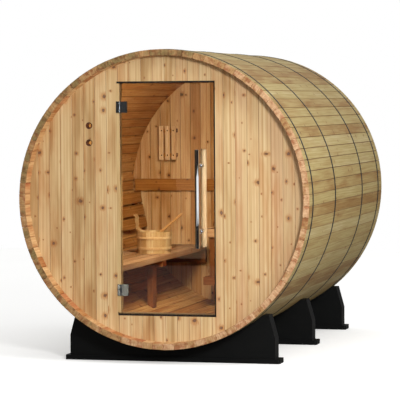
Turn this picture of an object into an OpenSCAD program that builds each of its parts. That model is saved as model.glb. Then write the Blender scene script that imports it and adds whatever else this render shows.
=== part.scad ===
// Outdoor barrel sauna: coopered stave shell, two crozed end walls, glass door,
// slatted bench with backrest, lamp shade, heater guard and a bucket with its ladle.
// Millimetres, +Z up, the door faces -Y, origin on the ground under the barrel.

/* [Barrel] */
// Diameter over the stave corners
barrel_d = 1829; // [1790:1:1900]
// Length of the staves
barrel_len = 2440; // [2300:10:3000]
// Number of staves round the barrel
stave_count = 82; // [72:2:90]
// Stave thickness
stave_t = 38; // [32:1:44]
// Open seam between neighbouring staves
stave_seam = 0.4; // [0.2:0.1:0.8]
// Radius of the bead along one edge of a stave
bead_r = 8; // [6:0.5:10]
// Height of the bead above the stave edge
bead_out = 4; // [3:0.5:5]
// Height of the lowest stave above the ground
barrel_lift = 92; // [80:1:130]

/* [Hoops] */
// Front hoop from the front end of the barrel
front_hoop_in = 105; // [60:1:200]
// Rear hoop from the back end of the barrel
rear_hoop_in = 145; // [60:1:250]
// Places of the two middle hoops as shares of the barrel length
hoop_share = [0.324, 0.696];
// Hoop band width
hoop_w = 22; // [16:1:32]
// Hoop band thickness
hoop_t = 2; // [1.5:0.1:3]
// Gap in the band that its bolt draws together
hoop_gap = 30; // [20:1:45]
// Height of the two ears on the band
ear_h = 20; // [14:1:26]
// Thickness of an ear
ear_t = 8; // [5:1:12]
// Diameter of the hoop bolt
hoop_bolt_d = 8; // [6:1:10]
// Angle of the ears below the level of the barrel axis, on the bench side
ear_angle = 25; // [10:1:35]

/* [End walls] */
// Wall board thickness
wall_t = 38; // [30:1:45]
// Front wall set back from the stave ends
front_recess = 95; // [85:1:120]
// Back wall set back from the stave ends
back_recess = 35; // [25:1:60]
// Depth of the croze groove that holds a wall
croze_depth = 10; // [6:0.5:14]
// Diameter of the two bored holes beside the door
hole_d = 27; // [20:1:34]
// Diameter of the counterbore round each hole
hole_rim_d = 42; // [36:1:50]
// Depth of the counterbore
hole_rim_depth = 8; // [4:1:14]
// Distance of the holes from the middle, as a share of the inside radius
hole_side = 0.5575; // [0.5:0.0025:0.65]
// Height of the lower hole above the axis, as a share of the inside radius
hole_up = 0.396; // [0.25:0.001:0.45]
// Distance between the two holes
hole_pitch = 105; // [80:1:140]

/* [Doorway] */
// Width of the door opening
door_w = 625; // [500:1:740]
// Height of the wall over the door opening
over_door = 164; // [120:1:260]
// Height of the wall under the door opening
under_door = 169; // [120:1:260]
// Width of the hinge post
post_w = 20; // [15:1:50]
// Overlap of glass and seal strip
seal_lap = 4; // [3:0.5:6]
// Height of the sill stop
sill_h = 18; // [16:1:30]
// Depth of the door frame
frame_depth = 58; // [50:1:110]
// Thickness of the seal strip on the stops
seal_t = 3; // [2:0.5:4]

/* [Glass door] */
// Glass thickness
glass_t = 8; // [6:1:10]
// Gap between glass and hinge post
post_gap = 5; // [5:0.5:7]
// Gap round the other edges of the glass
edge_gap = 8; // [7:0.5:10]
// Clear space between glass and seal
seal_gap = 5.5; // [5:0.5:7]
// Height of a hinge
hinge_h = 70; // [60:1:90]
// Width of the hinge leaf on the glass
leaf_w = 46; // [26:1:60]
// Hinge leaf thickness
leaf_t = 4; // [3:0.5:5]
// Radius of a hinge knuckle
knuckle_r = 5; // [4.5:0.1:6]
// Radius of the hinge pin
pin_r = 2.5; // [2:0.1:3]
// Distance of the hinge centres from sill and head
hinge_in = 157; // [100:1:260]
// Gap between two knuckles
knuckle_gap = 0.4; // [0.3:0.1:0.8]
// Handle length
handle_len = 600; // [400:10:800]
// Distance between the handle standoffs
standoff_pitch = 400; // [300:10:480]
// Diameter of the outer steel bar
bar_d = 30; // [22:1:32]
// Diameter of the inner wooden bar
grip_d = 38; // [30:1:42]
// Reach of the outer bar's centre from the glass
bar_reach = 77; // [60:1:77]
// Reach of the inner bar's centre from the glass
grip_reach = 72; // [55:1:75]
// Standoff diameter
standoff_d = 16; // [12:1:20]
// Handle centre above the barrel axis
handle_rise = 5; // [-60:1:60]
// Handle centre line from the lock edge of the glass
handle_in = 87; // [70:1:110]

/* [Bench] */
// Bench top above the lowest floor stave
seat_h = 452; // [380:1:520]
// Gap between the bench front and the doorway
bench_door_gap = 24; // [10:1:60]
// Number of seat slats
seat_slats = 5; // [3:1:6]
// Gap between seat slats
seat_gap = 9; // [6:1:10]
// Thickness of the bench timber
timber_t = 38; // [32:1:42]
// Width of the bench timber
timber_w = 89; // [75:1:95]
// Gap between the rear slat and the staves
seat_wall_gap = 12; // [6:1:25]
// Gap between the slat ends and the end walls
end_gap = 2; // [1:0.5:6]
// Middle support from the middle of the barrel
bearer_y = 35; // [-200:5:200]
// Outer side of the leg behind the bench front
leg_in = 108; // [60:1:140]

/* [Backrest] */
// Number of backrest slats
back_slats = 3; // [3:1:4]
// Height of a backrest slat
back_w = 79; // [70:1:86]
// Gap between backrest slats
back_gap = 10; // [6:1:12]
// Thickness of a backrest slat
back_t = 22; // [18:1:26]
// Gap between bench top and backrest
back_rise = 123; // [16:1:140]
// Space between the staves and both long edges of the backrest
back_space = 38; // [8:1:45]
// Backrest end short of the end walls
back_end = 40; // [40:1:120]

/* [Back wall fittings] */
// Height of the wall rail
rail_h = 83; // [60:1:100]
// Middle of the rail above the barrel axis
rail_rise = 3; // [-20:1:40]
// Gap between the rail ends and the staves
rail_gap = 22; // [5:1:60]
// Lamp shade width
shade_w = 124; // [100:1:150]
// Lamp shade height
shade_h = 242; // [200:1:280]
// Lamp shade depth
shade_d = 80; // [60:1:100]
// Lamp shade from the middle of the wall, as a share of the inside radius
shade_side = 0.685; // [0.6:0.005:0.72]
// Lamp shade above the barrel axis, as a share of the inside radius
shade_up = 0.345; // [0.25:0.005:0.4]
// Thickness of a lamp shade slat
shade_slat_t = 12; // [9:1:16]
// Gap between lamp shade slats
shade_gap = 14; // [8:1:20]
// Height of a lamp shade cleat
cleat_h = 28; // [20:1:40]
// Cleat short of the shade's sides
cleat_in = 6; // [3:1:15]

/* [Heater guard] */
// Guard width
guard_w = 520; // [420:1:580]
// Guard depth from the back wall
guard_d = 397; // [320:1:460]
// Foot of the guard above the lowest floor stave
guard_lift = 195; // [150:1:240]
// Height of the guard slats
guard_h = 390; // [330:1:400]
// Height of a guard rail
guard_rail_h = 57; // [45:1:70]
// Thickness of a guard rail
guard_rail_t = 28; // [22:1:34]
// Guard slat width
guard_slat_w = 45; // [35:1:50]
// Guard slat thickness
guard_slat_t = 18; // [14:1:22]
// Guard slats end this far inside the rails' edges
guard_slat_in = 8; // [4:1:15]

/* [Bucket and ladle] */
// Bucket radius at the rim
bucket_r = 120; // [100:1:125]
// Bucket foot smaller than the rim, on the radius
bucket_taper = 8; // [4:1:16]
// Bucket height
bucket_h = 146; // [130:1:170]
// Bucket wall thickness
bucket_t = 12; // [9:1:14]
// Bucket position along the bench from the barrel middle
bucket_y = 240; // [-600:10:600]
// Bucket rim behind the bench front edge
bucket_margin = 9; // [0:1:40]
// Height of the bucket floor
bucket_floor = 22; // [14:1:30]
// Rise of the handle stave above the rim
bail_rise = 113; // [80:1:130]
// Sweep between the handle stave and the rim
bail_sweep = 40; // [25:1:50]
// Width of a bucket band
band_w = 16; // [12:1:20]
// Thickness of a bucket band
band_t = 4; // [3:0.5:5]
// Lower band above the base
band_low = 26; // [18:1:36]
// Upper band below the rim
band_drop = 34; // [26:1:44]
// Ladle handle radius
ladle_r = 9; // [7:0.5:11]
// Slope of the ladle handle
ladle_tilt = 27.7; // [24:0.1:32]
// Turn of the ladle handle from the +X side
ladle_turn = 65; // [40:1:80]
// Length of the ladle handle
ladle_len = 365; // [330:1:420]
// Length of the handle that dips below the rim
ladle_dip = 165; // [140:1:170]
// Radius of the ladle cup
cup_r = 27; // [22:1:30]
// Depth of the ladle cup
cup_h = 44; // [34:1:48]
// Wall of the ladle cup
cup_t = 5; // [4:1:7]

/* [Cradles] */
// Middle of the front cradle from the front end
front_cradle_in = 247; // [150:1:400]
// Middle of the rear cradle from the back end
rear_cradle_in = 98; // [70:1:400]
// Place of the middle cradle as a share of the barrel length
middle_share = 0.55; // [0.45:0.01:0.6]
// Cradle ends outside the cradle tips
cradle_flare = 39; // [20:1:80]
// Depth of the cradle body
cradle_d = 100; // [80:1:130]
// Height of the upright cradle ends
cradle_side_h = 155; // [130:1:180]
// Height of the cradle tips
cradle_tip_h = 298; // [270:1:320]
// Width of the flat on a cradle tip
cradle_tip_w = 38; // [28:1:60]
// Lip of the foot flange
foot_lip = 30; // [20:1:40]
// Lip of the foot flange in front and behind
foot_lip_y = 12; // [8:1:20]
// Thickness of the foot flange
foot_t = 30; // [20:1:36]
// Wall of the cradle moulding
cradle_wall = 8; // [6:0.5:12]
// Number of ribs inside a cradle
cradle_ribs = 7; // [5:2:11]
// Thickness of a rib
rib_t = 6; // [4:0.5:9]

/* [Fits] */
// Clearance of curved seats
seat_clear = 0.3; // [0.2:0.1:0.6]
// Clearance at the sides of a croze
croze_clear = 0.3; // [0.2:0.1:0.6]
// Running clearance of the hinge pin
pin_clear = 0.05; // [0.02:0.01:0.1]

/* [Output] */
// Piece to draw

/* [Hidden] */
$fn = 96;
axis_z = barrel_lift + barrel_d / 2;
half_step = 180 / stave_count;
stave_out = barrel_d / 2 * cos(half_step);
stave_in = stave_out - stave_t;
stave_mid = (stave_out + stave_in) / 2;
inside_r = stave_in - seat_clear;
wall_r = stave_in + croze_depth - seat_clear;
bead_at = stave_mid * tan(half_step) - stave_seam / 2 - bead_r + bead_out;
floor_z = axis_z - stave_in;
hoop_r = barrel_d / 2 + seat_clear;
hoop_y = [-barrel_len / 2 + front_hoop_in, (hoop_share[0] - 0.5) * barrel_len,
    (hoop_share[1] - 0.5) * barrel_len, barrel_len / 2 - rear_hoop_in];
cradle_y = [-barrel_len / 2 + front_cradle_in, (middle_share - 0.5) * barrel_len,
    barrel_len / 2 - rear_cradle_in];
cradle_tip = sqrt(pow(barrel_d / 2, 2) - pow(axis_z - cradle_tip_h, 2)) + cradle_tip_w;
cradle_half = cradle_tip + cradle_flare;
saddle_r = barrel_d / 2 + seat_clear;
hole_x = hole_side * inside_r;
hole_z = [axis_z + hole_up * inside_r, axis_z + hole_up * inside_r + hole_pitch];
front_y = -barrel_len / 2 + front_recess;
front_in_y = front_y + wall_t;
back_y = barrel_len / 2 - back_recess - wall_t;
door_x0 = -door_w / 2;
door_x1 = door_w / 2;
sill_z = axis_z - wall_r + under_door;
head_z = axis_z + wall_r - over_door;
door_h = head_z - sill_z;
hinge_z = [sill_z + hinge_in, head_z - hinge_in];
glass_x0 = door_x0 + post_w + post_gap;
glass_x1 = door_x1 - edge_gap;
stop_w = edge_gap + seal_lap;
stop_y = front_y + glass_t + seal_gap + seal_t;
frame_end_y = front_y + frame_depth;
pin_x = glass_x0 - post_gap / 2;
pin_y = front_y - knuckle_r;
handle_x = glass_x1 - handle_in;
handle_z = axis_z + handle_rise;
bench_z = floor_z + seat_h;
bearer_z = bench_z - timber_t;
seat_back_x = -sqrt(pow(inside_r, 2) - pow(axis_z - bearer_z, 2)) + seat_wall_gap;
seat_front_x = door_x0 - bench_door_gap;
seat_w = (seat_front_x - seat_back_x - (seat_slats - 1) * seat_gap) / seat_slats;
back_foot_z = bench_z + back_rise;
back_r = inside_r - back_space;
back_foot_x = -sqrt(pow(back_r, 2) - pow(axis_z - back_foot_z, 2));
back_len = back_slats * back_w + (back_slats - 1) * back_gap;
recline = asin((axis_z - back_foot_z) / back_r) - asin(back_len / 2 / back_r);
leg_x = seat_front_x - leg_in;
shade_x = shade_side * inside_r;
shade_z = axis_z + shade_up * inside_r;
guard_z = floor_z + guard_lift + guard_h;
guard_y = back_y - guard_d;
bucket_x = seat_front_x - bucket_r - bucket_margin;
bucket_in_r = bucket_r - bucket_t;
bucket_slope = bucket_taper / bucket_h;

// one stave, flat across, with a bead on one edge and the matching cove on the other
module stave(k) {
    edge_in = stave_in * tan(half_step) - stave_seam / 2;
    edge_out = stave_out * tan(half_step) - stave_seam / 2;
    translate([0, 0, axis_z])
    rotate([0, 90 - (k + 0.5) * 2 * half_step, 0])
    difference() {
        rotate([90, 0, 0])
        linear_extrude(barrel_len, center = true)
        difference() {
            union() {
                polygon([[stave_in, -edge_in], [stave_out, -edge_out], [stave_out, edge_out],
                    [stave_in, edge_in]]);
                translate([stave_mid, bead_at])
                circle(bead_r);
            }
            rotate(-2 * half_step)
            translate([stave_mid, bead_at])
            circle(bead_r + seat_clear);
        }
        croze(front_y);
        croze(back_y);
    }
}

// groove across a stave that takes the rim of an end wall
module croze(y0) {
    translate([stave_in - 1, y0 - croze_clear, -stave_t * 2])
    cube([croze_depth + 1, wall_t + 2 * croze_clear, stave_t * 4]);
}

// one sixth of the shell, counted from the floor towards +X
module stave_group(g) {
    first = round((g - 0.5) * stave_count / 6);
    last = round((g + 0.5) * stave_count / 6) - 1;
    color("peru")
    for (k = [first : last])
        stave(k);
}

// band with a gap, and two ears that a bolt draws together
module hoop(i) {
    color("dimgray")
    translate([0, hoop_y[i], axis_z])
    rotate([0, 180 - ear_angle, 0])
    rotate([-90, 0, 0])
    hoop_shape();
}

module hoop_shape() {
    translate([0, 0, -hoop_w / 2])
    difference() {
        cylinder(r = hoop_r + hoop_t, h = hoop_w, $fn = 720);
        translate([0, 0, -1])
        cylinder(r = hoop_r, h = hoop_w + 2, $fn = 720);
        translate([0, -hoop_gap / 2, -1])
        cube([barrel_d, hoop_gap, hoop_w + 2]);
    }
    for (s = [-1, 1])
        translate([hoop_r + hoop_t / 2 + ear_h / 2, s * (hoop_gap + ear_t) / 2, 0])
        cube([ear_h, ear_t, hoop_w], center = true);
    translate([hoop_r + hoop_t + ear_h / 2, 0, 0])
    rotate([90, 0, 0])
    cylinder(d = hoop_bolt_d, h = hoop_gap + 4 * ear_t, center = true);
}

// lying cylinder about the barrel axis
module round_space(r, y0, y1) {
    translate([0, y0, axis_z])
    rotate([-90, 0, 0])
    cylinder(r = r, h = y1 - y0, $fn = 720);
}

// rectangle with rounded corners, given by its half sizes
module foot_outline(a, b, r) {
    square([2 * a, 2 * (b - r)], center = true);
    square([2 * (a - r), 2 * b], center = true);
    for (s = [-1, 1])
        for (t = [-1, 1])
            translate([s * (a - r), t * (b - r)])
            circle(r);
}

// side view of the cradle body, shrunk by its wall for the hollow
module cradle_side(wall) {
    a = cradle_half - wall;
    t = cradle_tip - wall;
    polygon([[-a, 0], [a, 0], [a, cradle_side_h], [t, cradle_tip_h - wall], [-t, cradle_tip_h - wall],
        [-a, cradle_side_h]]);
}

// hollow under the moulding, left standing as ribs between its cells
module cradle_hollow() {
    pitch = 2 * cradle_half / (cradle_ribs + 1);
    difference() {
        translate([0, 0, -1])
        rotate([90, 0, 0])
        linear_extrude(cradle_d - 2 * cradle_wall, center = true)
        cradle_side(cradle_wall);
        round_space(saddle_r + hoop_t + 2 * seat_clear + cradle_wall, -cradle_d, cradle_d);
        for (n = [1 : cradle_ribs])
            translate([-cradle_half + n * pitch, 0, cradle_tip_h / 2])
            cube([rib_t, cradle_d, cradle_tip_h + 4], center = true);
    }
}

// moulded shell, open underneath, with a saddle that clears the hoops
module cradle(i) {
    color([0.08, 0.08, 0.08])
    translate([0, cradle_y[i], 0])
    difference() {
        union() {
            rotate([90, 0, 0])
            linear_extrude(cradle_d, center = true)
            cradle_side(0);
            linear_extrude(foot_t)
            foot_outline(cradle_half + foot_lip, cradle_d / 2 + foot_lip_y, foot_lip_y);
        }
        cradle_hollow();
        round_space(saddle_r, -cradle_d, cradle_d);
        for (y = hoop_y)
            translate([0, y - cradle_y[i], 0])
            round_space(hoop_r + hoop_t + seat_clear, -hoop_w / 2 - 1, hoop_w / 2 + 1);
    }
}

// part of the front wall between two heights and two sides
module front_wall_piece(x0, x1, z0, z1) {
    color("burlywood")
    intersection() {
        round_space(wall_r, front_y, front_in_y);
        translate([x0, front_y - 1, z0])
        cube([x1 - x0, wall_t + 2, z1 - z0]);
    }
}

module front_wall_left() {
    color("burlywood")
    difference() {
        front_wall_piece(-barrel_d, door_x0, 0, 2 * barrel_d);
        for (z = hole_z)
            translate([-hole_x, front_y, z])
            rotate([-90, 0, 0]) {
                translate([0, 0, -1])
                cylinder(d = hole_d, h = wall_t + 2);
                translate([0, 0, -1])
                cylinder(d = hole_rim_d, h = hole_rim_depth + 1);
            }
    }
}

module front_wall_right() {
    front_wall_piece(door_x1, barrel_d, 0, 2 * barrel_d);
}

module front_wall_over_door() {
    front_wall_piece(door_x0, door_x1, head_z, 2 * barrel_d);
}

module front_wall_under_door() {
    front_wall_piece(door_x0, door_x1, 0, sill_z);
}

module back_wall() {
    color("burlywood")
    round_space(wall_r, back_y, back_y + wall_t);
}

// beam across the barrel cut to the round of the staves
module fitted_beam(x0, x1, y0, z0, depth, height) {
    intersection() {
        round_space(inside_r, y0, y0 + depth);
        translate([x0, y0 - 1, z0])
        cube([x1 - x0, depth + 2, height]);
    }
}

module back_wall_rail() {
    color("sandybrown")
    fitted_beam(rail_gap - inside_r, inside_r - rail_gap, back_y - timber_t, axis_z + rail_rise - rail_h / 2,
        timber_t, rail_h);
}

module hinge_post() {
    color("wheat")
    translate([door_x0, front_y, sill_z + sill_h])
    cube([post_w, frame_depth, door_h - sill_h - stop_w]);
}

module lock_stop() {
    color("wheat")
    translate([door_x1 - stop_w, stop_y, sill_z + sill_h])
    cube([stop_w, frame_end_y - stop_y, door_h - sill_h - stop_w]);
}

module head_stop() {
    color("wheat")
    translate([door_x0, stop_y, head_z - stop_w])
    cube([door_w, frame_end_y - stop_y, stop_w]);
}

module sill_stop() {
    color("wheat")
    translate([door_x0, stop_y, sill_z])
    cube([door_w, frame_end_y - stop_y, sill_h]);
}

// black strip round three sides of the stops
module door_seal() {
    color([0.05, 0.05, 0.05])
    translate([0, stop_y - seal_t, 0])
    difference() {
        translate([door_x0, 0, sill_z])
        cube([door_w, seal_t, door_h]);
        translate([door_x0 - 1, -1, sill_z + stop_w])
        cube([door_w + 1 - stop_w, seal_t + 2, door_h - 2 * stop_w]);
    }
}

// leaf, knuckles and pin fixed to the post
module post_leaf() {
    third = hinge_h / 3;
    difference() {
        union() {
            translate([door_x0, front_y - leaf_t, 0])
            cube([pin_x - door_x0, leaf_t, hinge_h]);
            translate([pin_x, pin_y, 0])
            cylinder(r = knuckle_r, h = hinge_h);
        }
        translate([pin_x - knuckle_r - 1, front_y - 3 * knuckle_r, third - knuckle_gap])
        cube([4 * knuckle_r, 4 * knuckle_r, third + 2 * knuckle_gap]);
    }
    translate([pin_x, pin_y, 0])
    cylinder(r = pin_r, h = hinge_h);
}

module post_hinge_leaves() {
    color("silver")
    for (z = hinge_z)
        translate([0, 0, z - hinge_h / 2])
        post_leaf();
}

// leaf with the middle knuckle in front of the glass
module glass_leaf() {
    third = hinge_h / 3;
    free_x = pin_x + knuckle_r + 1;
    difference() {
        union() {
            translate([free_x, front_y - leaf_t, 0])
            cube([leaf_w - knuckle_r - 1, leaf_t, hinge_h]);
            translate([pin_x, front_y - leaf_t, third])
            cube([knuckle_r + 2, leaf_t, third]);
            translate([pin_x, pin_y, third])
            cylinder(r = knuckle_r, h = third);
        }
        translate([pin_x, pin_y, third - 1])
        cylinder(r = pin_r + pin_clear, h = third + 2);
    }
}

module glass_hinge_leaves() {
    color("silver")
    for (z = hinge_z)
        translate([0, 0, z - hinge_h / 2]) {
            glass_leaf();
            translate([glass_x0 + 4, front_y + glass_t, 0])
            cube([pin_x + leaf_w - glass_x0 - 4, leaf_t, hinge_h]);
        }
}

module door_glass() {
    color([0.5, 0.42, 0.33, 0.4])
    translate([glass_x0, front_y, sill_z + edge_gap])
    cube([glass_x1 - glass_x0, glass_t, door_h - 2 * edge_gap]);
}

// the two heights at which the handles are held
module at_standoffs() {
    for (s = [-1, 1])
        translate([handle_x, 0, handle_z + s * standoff_pitch / 2])
        children();
}

module outer_handle() {
    color("gainsboro")
    union() {
        translate([handle_x, front_y - bar_reach, handle_z])
        cylinder(d = bar_d, h = handle_len, center = true);
        at_standoffs()
        translate([0, front_y, 0])
        rotate([90, 0, 0]) {
            cylinder(d = standoff_d, h = bar_reach);
            cylinder(d = standoff_d * 1.75, h = 4);
        }
    }
}

module inner_handle() {
    color("wheat")
    difference() {
        translate([handle_x, front_y + glass_t + grip_reach, handle_z])
        cylinder(d = grip_d, h = handle_len, center = true);
        at_standoffs()
        translate([0, front_y + glass_t, 0])
        rotate([-90, 0, 0])
        cylinder(d = standoff_d + 2 * seat_clear, h = grip_reach - grip_d / 4);
    }
}

module handle_standoffs() {
    color("gainsboro")
    at_standoffs()
    translate([0, front_y + glass_t, 0])
    rotate([-90, 0, 0]) {
        cylinder(d = standoff_d, h = grip_reach - grip_d / 4);
        cylinder(d = standoff_d * 1.75, h = 4);
    }
}

module bench_slats() {
    color("peru")
    for (n = [0 : seat_slats - 1])
        translate([seat_back_x + n * (seat_w + seat_gap), front_in_y + end_gap, bearer_z])
        cube([seat_w, back_y - front_in_y - 2 * end_gap, timber_t]);
}

// ledgers on the two end walls and a flat bearer between them
module bench_bearers() {
    color("sienna") {
        fitted_beam(-barrel_d, seat_front_x, front_in_y, bearer_z - timber_w, timber_t, timber_w);
        fitted_beam(-barrel_d, seat_front_x, back_y - timber_t, bearer_z - timber_w, timber_t, timber_w);
        fitted_beam(-barrel_d, seat_front_x, bearer_y - timber_w / 2, bearer_z - timber_t, timber_w, timber_t);
    }
}

module bench_leg() {
    color("sienna")
    fitted_beam(leg_x, leg_x + timber_t, bearer_y - timber_w / 2, 0, timber_w, bearer_z - timber_t);
}

// places children on a chord of the shell, x from the staves inwards and z up the back
module reclined() {
    translate([back_foot_x, 0, back_foot_z])
    rotate([0, -recline, 0])
    children();
}

module backrest_slats() {
    color("peru")
    reclined()
    for (n = [0 : back_slats - 1])
        translate([0, front_in_y + back_end, n * (back_w + back_gap)])
        cube([back_t, back_y - front_in_y - 2 * back_end, back_w]);
}

// wedges between the slats and the staves
module backrest_brackets() {
    span = back_y - front_in_y - 2 * back_end - 2 * timber_t;
    color("sienna")
    for (n = [0, 0.5, 1])
        translate([0, front_in_y + back_end + n * span + timber_t / 2, 0])
        intersection() {
            round_space(inside_r, 0, timber_t);
            reclined()
            translate([-barrel_d / 2, -1, 0])
            cube([barrel_d / 2, timber_t + 2, back_len]);
        }
}

module lamp_shade_slats() {
    slat_w = (shade_w - 2 * shade_gap) / 3;
    color("saddlebrown")
    for (n = [0 : 2])
        translate([-shade_x - shade_w / 2 + n * (slat_w + shade_gap), back_y - shade_d, shade_z - shade_h / 2])
        cube([slat_w, shade_slat_t, shade_h]);
}

module lamp_shade_cleats() {
    color("saddlebrown")
    for (s = [-0.36, 0.36])
        translate([-shade_x, back_y - (shade_d - shade_slat_t) / 2, shade_z + s * shade_h])
        cube([shade_w - 2 * cleat_in, shade_d - shade_slat_t, cleat_h], center = true);
}

// one rail round the front and both sides of the guard
module guard_rail(z0) {
    translate([0, 0, z0])
    difference() {
        translate([-guard_w / 2, guard_y, 0])
        cube([guard_w, guard_d, guard_rail_h]);
        translate([-guard_w / 2 + guard_rail_t, guard_y + guard_rail_t, -1])
        cube([guard_w - 2 * guard_rail_t, guard_d, guard_rail_h + 2]);
    }
}

module guard_rails() {
    color("peru") {
        guard_rail(guard_z - guard_rail_h);
        guard_rail(guard_z - guard_h);
    }
}

// upright slats on the inside of the rails
module guard_slats() {
    inner_w = guard_w - 2 * guard_rail_t;
    inner_d = guard_d - guard_rail_t - guard_slat_t;
    foot = guard_z - guard_h + guard_slat_in;
    height = guard_h - 2 * guard_slat_in;
    color("peru") {
        for (n = [0 : 5])
            translate([-inner_w / 2 + (n + 0.5) * inner_w / 6 - guard_slat_w / 2, guard_y + guard_rail_t, foot])
            cube([guard_slat_w, guard_slat_t, height]);
        for (n = [0 : 3])
            translate([0, guard_y + guard_rail_t + guard_slat_t + (n + 0.5) * inner_d / 4, foot])
            for (s = [-1, 1])
                translate([s * (inner_w - guard_slat_t) / 2, 0, height / 2])
                cube([guard_slat_t, guard_slat_w, height], center = true);
    }
}

// radius of the bucket's outside at a height
function bucket_out(z) = bucket_r + (z - bucket_h) * bucket_slope;

// tapered wall and floor, with one stave that carries on above the rim as the handle
module bucket() {
    top = bucket_h + bail_rise;
    color("wheat")
    translate([bucket_x, bucket_y, bench_z])
    difference() {
        rotate_extrude()
        difference() {
            polygon([[0, 0], [bucket_out(0), 0], [bucket_out(top), top], [0, top]]);
            polygon([[0, bucket_floor], [bucket_out(bucket_floor) - bucket_t, bucket_floor],
                [bucket_out(top + 2) - bucket_t, top + 2], [0, top + 2]]);
        }
        rotate([90, 0, 0])
        linear_extrude(4 * bucket_r, center = true)
        difference() {
            translate([-2 * bucket_r, bucket_h])
            square([4 * bucket_r, 2 * bail_rise]);
            bail();
        }
    }
}

// side view of the handle stave and its sweep down to the rim
module bail() {
    inner = -bucket_r + 3;
    translate([inner - bucket_r, bucket_h])
    square([bucket_r, bail_rise]);
    difference() {
        translate([inner, bucket_h])
        square(bail_sweep);
        translate([inner + bail_sweep, bucket_h + bail_sweep])
        circle(bail_sweep);
    }
}

module bucket_hoops() {
    color("tan")
    translate([bucket_x, bucket_y, bench_z])
    for (z = [band_low, bucket_h - band_drop - band_w])
        rotate_extrude()
        translate([seat_clear, 0])
        polygon([[bucket_out(z), z], [bucket_out(z) + band_t, z], [bucket_out(z + band_w) + band_t, z + band_w],
            [bucket_out(z + band_w), z + band_w]]);
}

module ladle() {
    rest = ladle_r / cos(ladle_tilt) + seat_clear;
    color("burlywood")
    translate([bucket_x, bucket_y, bench_z + bucket_h + rest])
    rotate([0, 0, ladle_turn])
    translate([bucket_in_r, 0, 0])
    rotate([0, 90 - ladle_tilt, 0])
    translate([0, 0, -ladle_dip]) {
        cylinder(r = ladle_r, h = ladle_len);
        translate([cup_h / 2, 0, cup_t / 2 - cup_r])
        rotate([0, -90, 0])
        difference() {
            cylinder(r = cup_r, h = cup_h);
            translate([0, 0, cup_t])
            cylinder(r = cup_r - cup_t, h = cup_h);
        }
    }
}

stave_group(0);  // floor_staves
stave_group(1);  // right_lower_staves
stave_group(2);  // right_upper_staves
stave_group(3);  // roof_staves
stave_group(4);  // left_upper_staves
stave_group(5);  // left_lower_staves
hoop(0);  // front_hoop
hoop(1);  // second_hoop
hoop(2);  // third_hoop
hoop(3);  // rear_hoop
cradle(0);  // front_cradle
cradle(1);  // middle_cradle
cradle(2);  // rear_cradle
front_wall_left();
front_wall_right();
front_wall_over_door();
front_wall_under_door();
back_wall();
back_wall_rail();
hinge_post();
lock_stop();
head_stop();
sill_stop();
door_seal();
post_hinge_leaves();
door_glass();
glass_hinge_leaves();
outer_handle();
inner_handle();
handle_standoffs();
bench_slats();
bench_bearers();
bench_leg();
backrest_slats();
backrest_brackets();
lamp_shade_slats();
lamp_shade_cleats();
guard_rails();
guard_slats();
bucket();
bucket_hoops();
ladle();
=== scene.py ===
"""Looks of a barrel sauna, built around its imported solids.

Every object is in metres, in the frame of the solids: x runs across the door, y along the barrel with the
door at the low end, and z up from the ground.
"""

import logging
import math
import random
from collections.abc import Callable, Iterable, Sequence
from dataclasses import dataclass, field, replace
from enum import Enum, IntEnum
from functools import cache
from typing import Any

import bmesh
import bpy
from bmesh.types import BMEdge, BMesh, BMFace, BMVert
from bpy.types import Material, Node, NodeSocket, NodeTree, Object
from mathutils import Matrix, Vector


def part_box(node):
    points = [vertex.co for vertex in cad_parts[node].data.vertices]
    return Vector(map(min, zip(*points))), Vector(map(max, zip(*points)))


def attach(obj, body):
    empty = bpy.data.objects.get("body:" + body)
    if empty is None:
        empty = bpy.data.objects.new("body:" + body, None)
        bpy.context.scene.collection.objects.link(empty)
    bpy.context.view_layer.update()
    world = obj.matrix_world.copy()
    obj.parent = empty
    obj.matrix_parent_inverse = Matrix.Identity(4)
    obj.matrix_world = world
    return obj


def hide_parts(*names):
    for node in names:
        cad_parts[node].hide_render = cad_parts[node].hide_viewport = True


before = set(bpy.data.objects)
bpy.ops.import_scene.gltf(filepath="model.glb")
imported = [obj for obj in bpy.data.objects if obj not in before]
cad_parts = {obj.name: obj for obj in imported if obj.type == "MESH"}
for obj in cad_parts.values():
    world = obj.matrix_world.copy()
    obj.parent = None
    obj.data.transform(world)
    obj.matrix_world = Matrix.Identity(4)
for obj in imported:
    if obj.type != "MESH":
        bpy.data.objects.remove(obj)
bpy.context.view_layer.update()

log = logging.getLogger("sauna")

Pair = tuple[float, float]
Triple = tuple[float, float, float]

MM = 0.001
# the height of the barrel's axis
AXIS_Z = 1006.5 * MM
UP, RIGHT, OUT_OF_DOOR = Vector((0, 0, 1)), Vector((1, 0, 0)), Vector((0, -1, 0))
# the least cosine between a face's normal and a board's direction for a flat, and the grain for an end
FLAT_COS, END_COS = 0.9, 0.7
# the log that boards are taken from, in metres: so long and wide that no two show the same figure
LOG_LENGTH, LOG_WIDTH = 40, 9
# points nearer than this are one point, and faces that turn less than this are one face
WELD, FLAT_TURN = 0.01 * MM, math.radians(0.2)
# edges that turn more than this are rounded over, and shading breaks at ones that turn more than the crease
SHARP_TURN, CREASE = math.radians(28), math.radians(40)


class Body(Enum):
    """The two rigid bodies that pieces ride on."""

    SAUNA = "sauna"
    DOOR = "door"


class Slot(Enum):
    """The material slots of the record."""

    STAVE = "weathered_stave_wood"
    HOOP = "hoop_steel"
    CRADLE = "cradle_plastic"
    FRONT = "front_board_wood"
    INSIDE = "inside_wood"
    FRAME = "pale_frame_wood"
    BUCKET = "bucket_pine"
    SEAL = "seal_rubber"
    HINGE = "hinge_steel"
    HANDLE = "polished_steel"
    GLASS = "tinted_glass"


class Shading(Enum):
    """How the faces of a piece take the light."""

    FACETED = "faceted"
    ROUNDED = "rounded"


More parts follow.
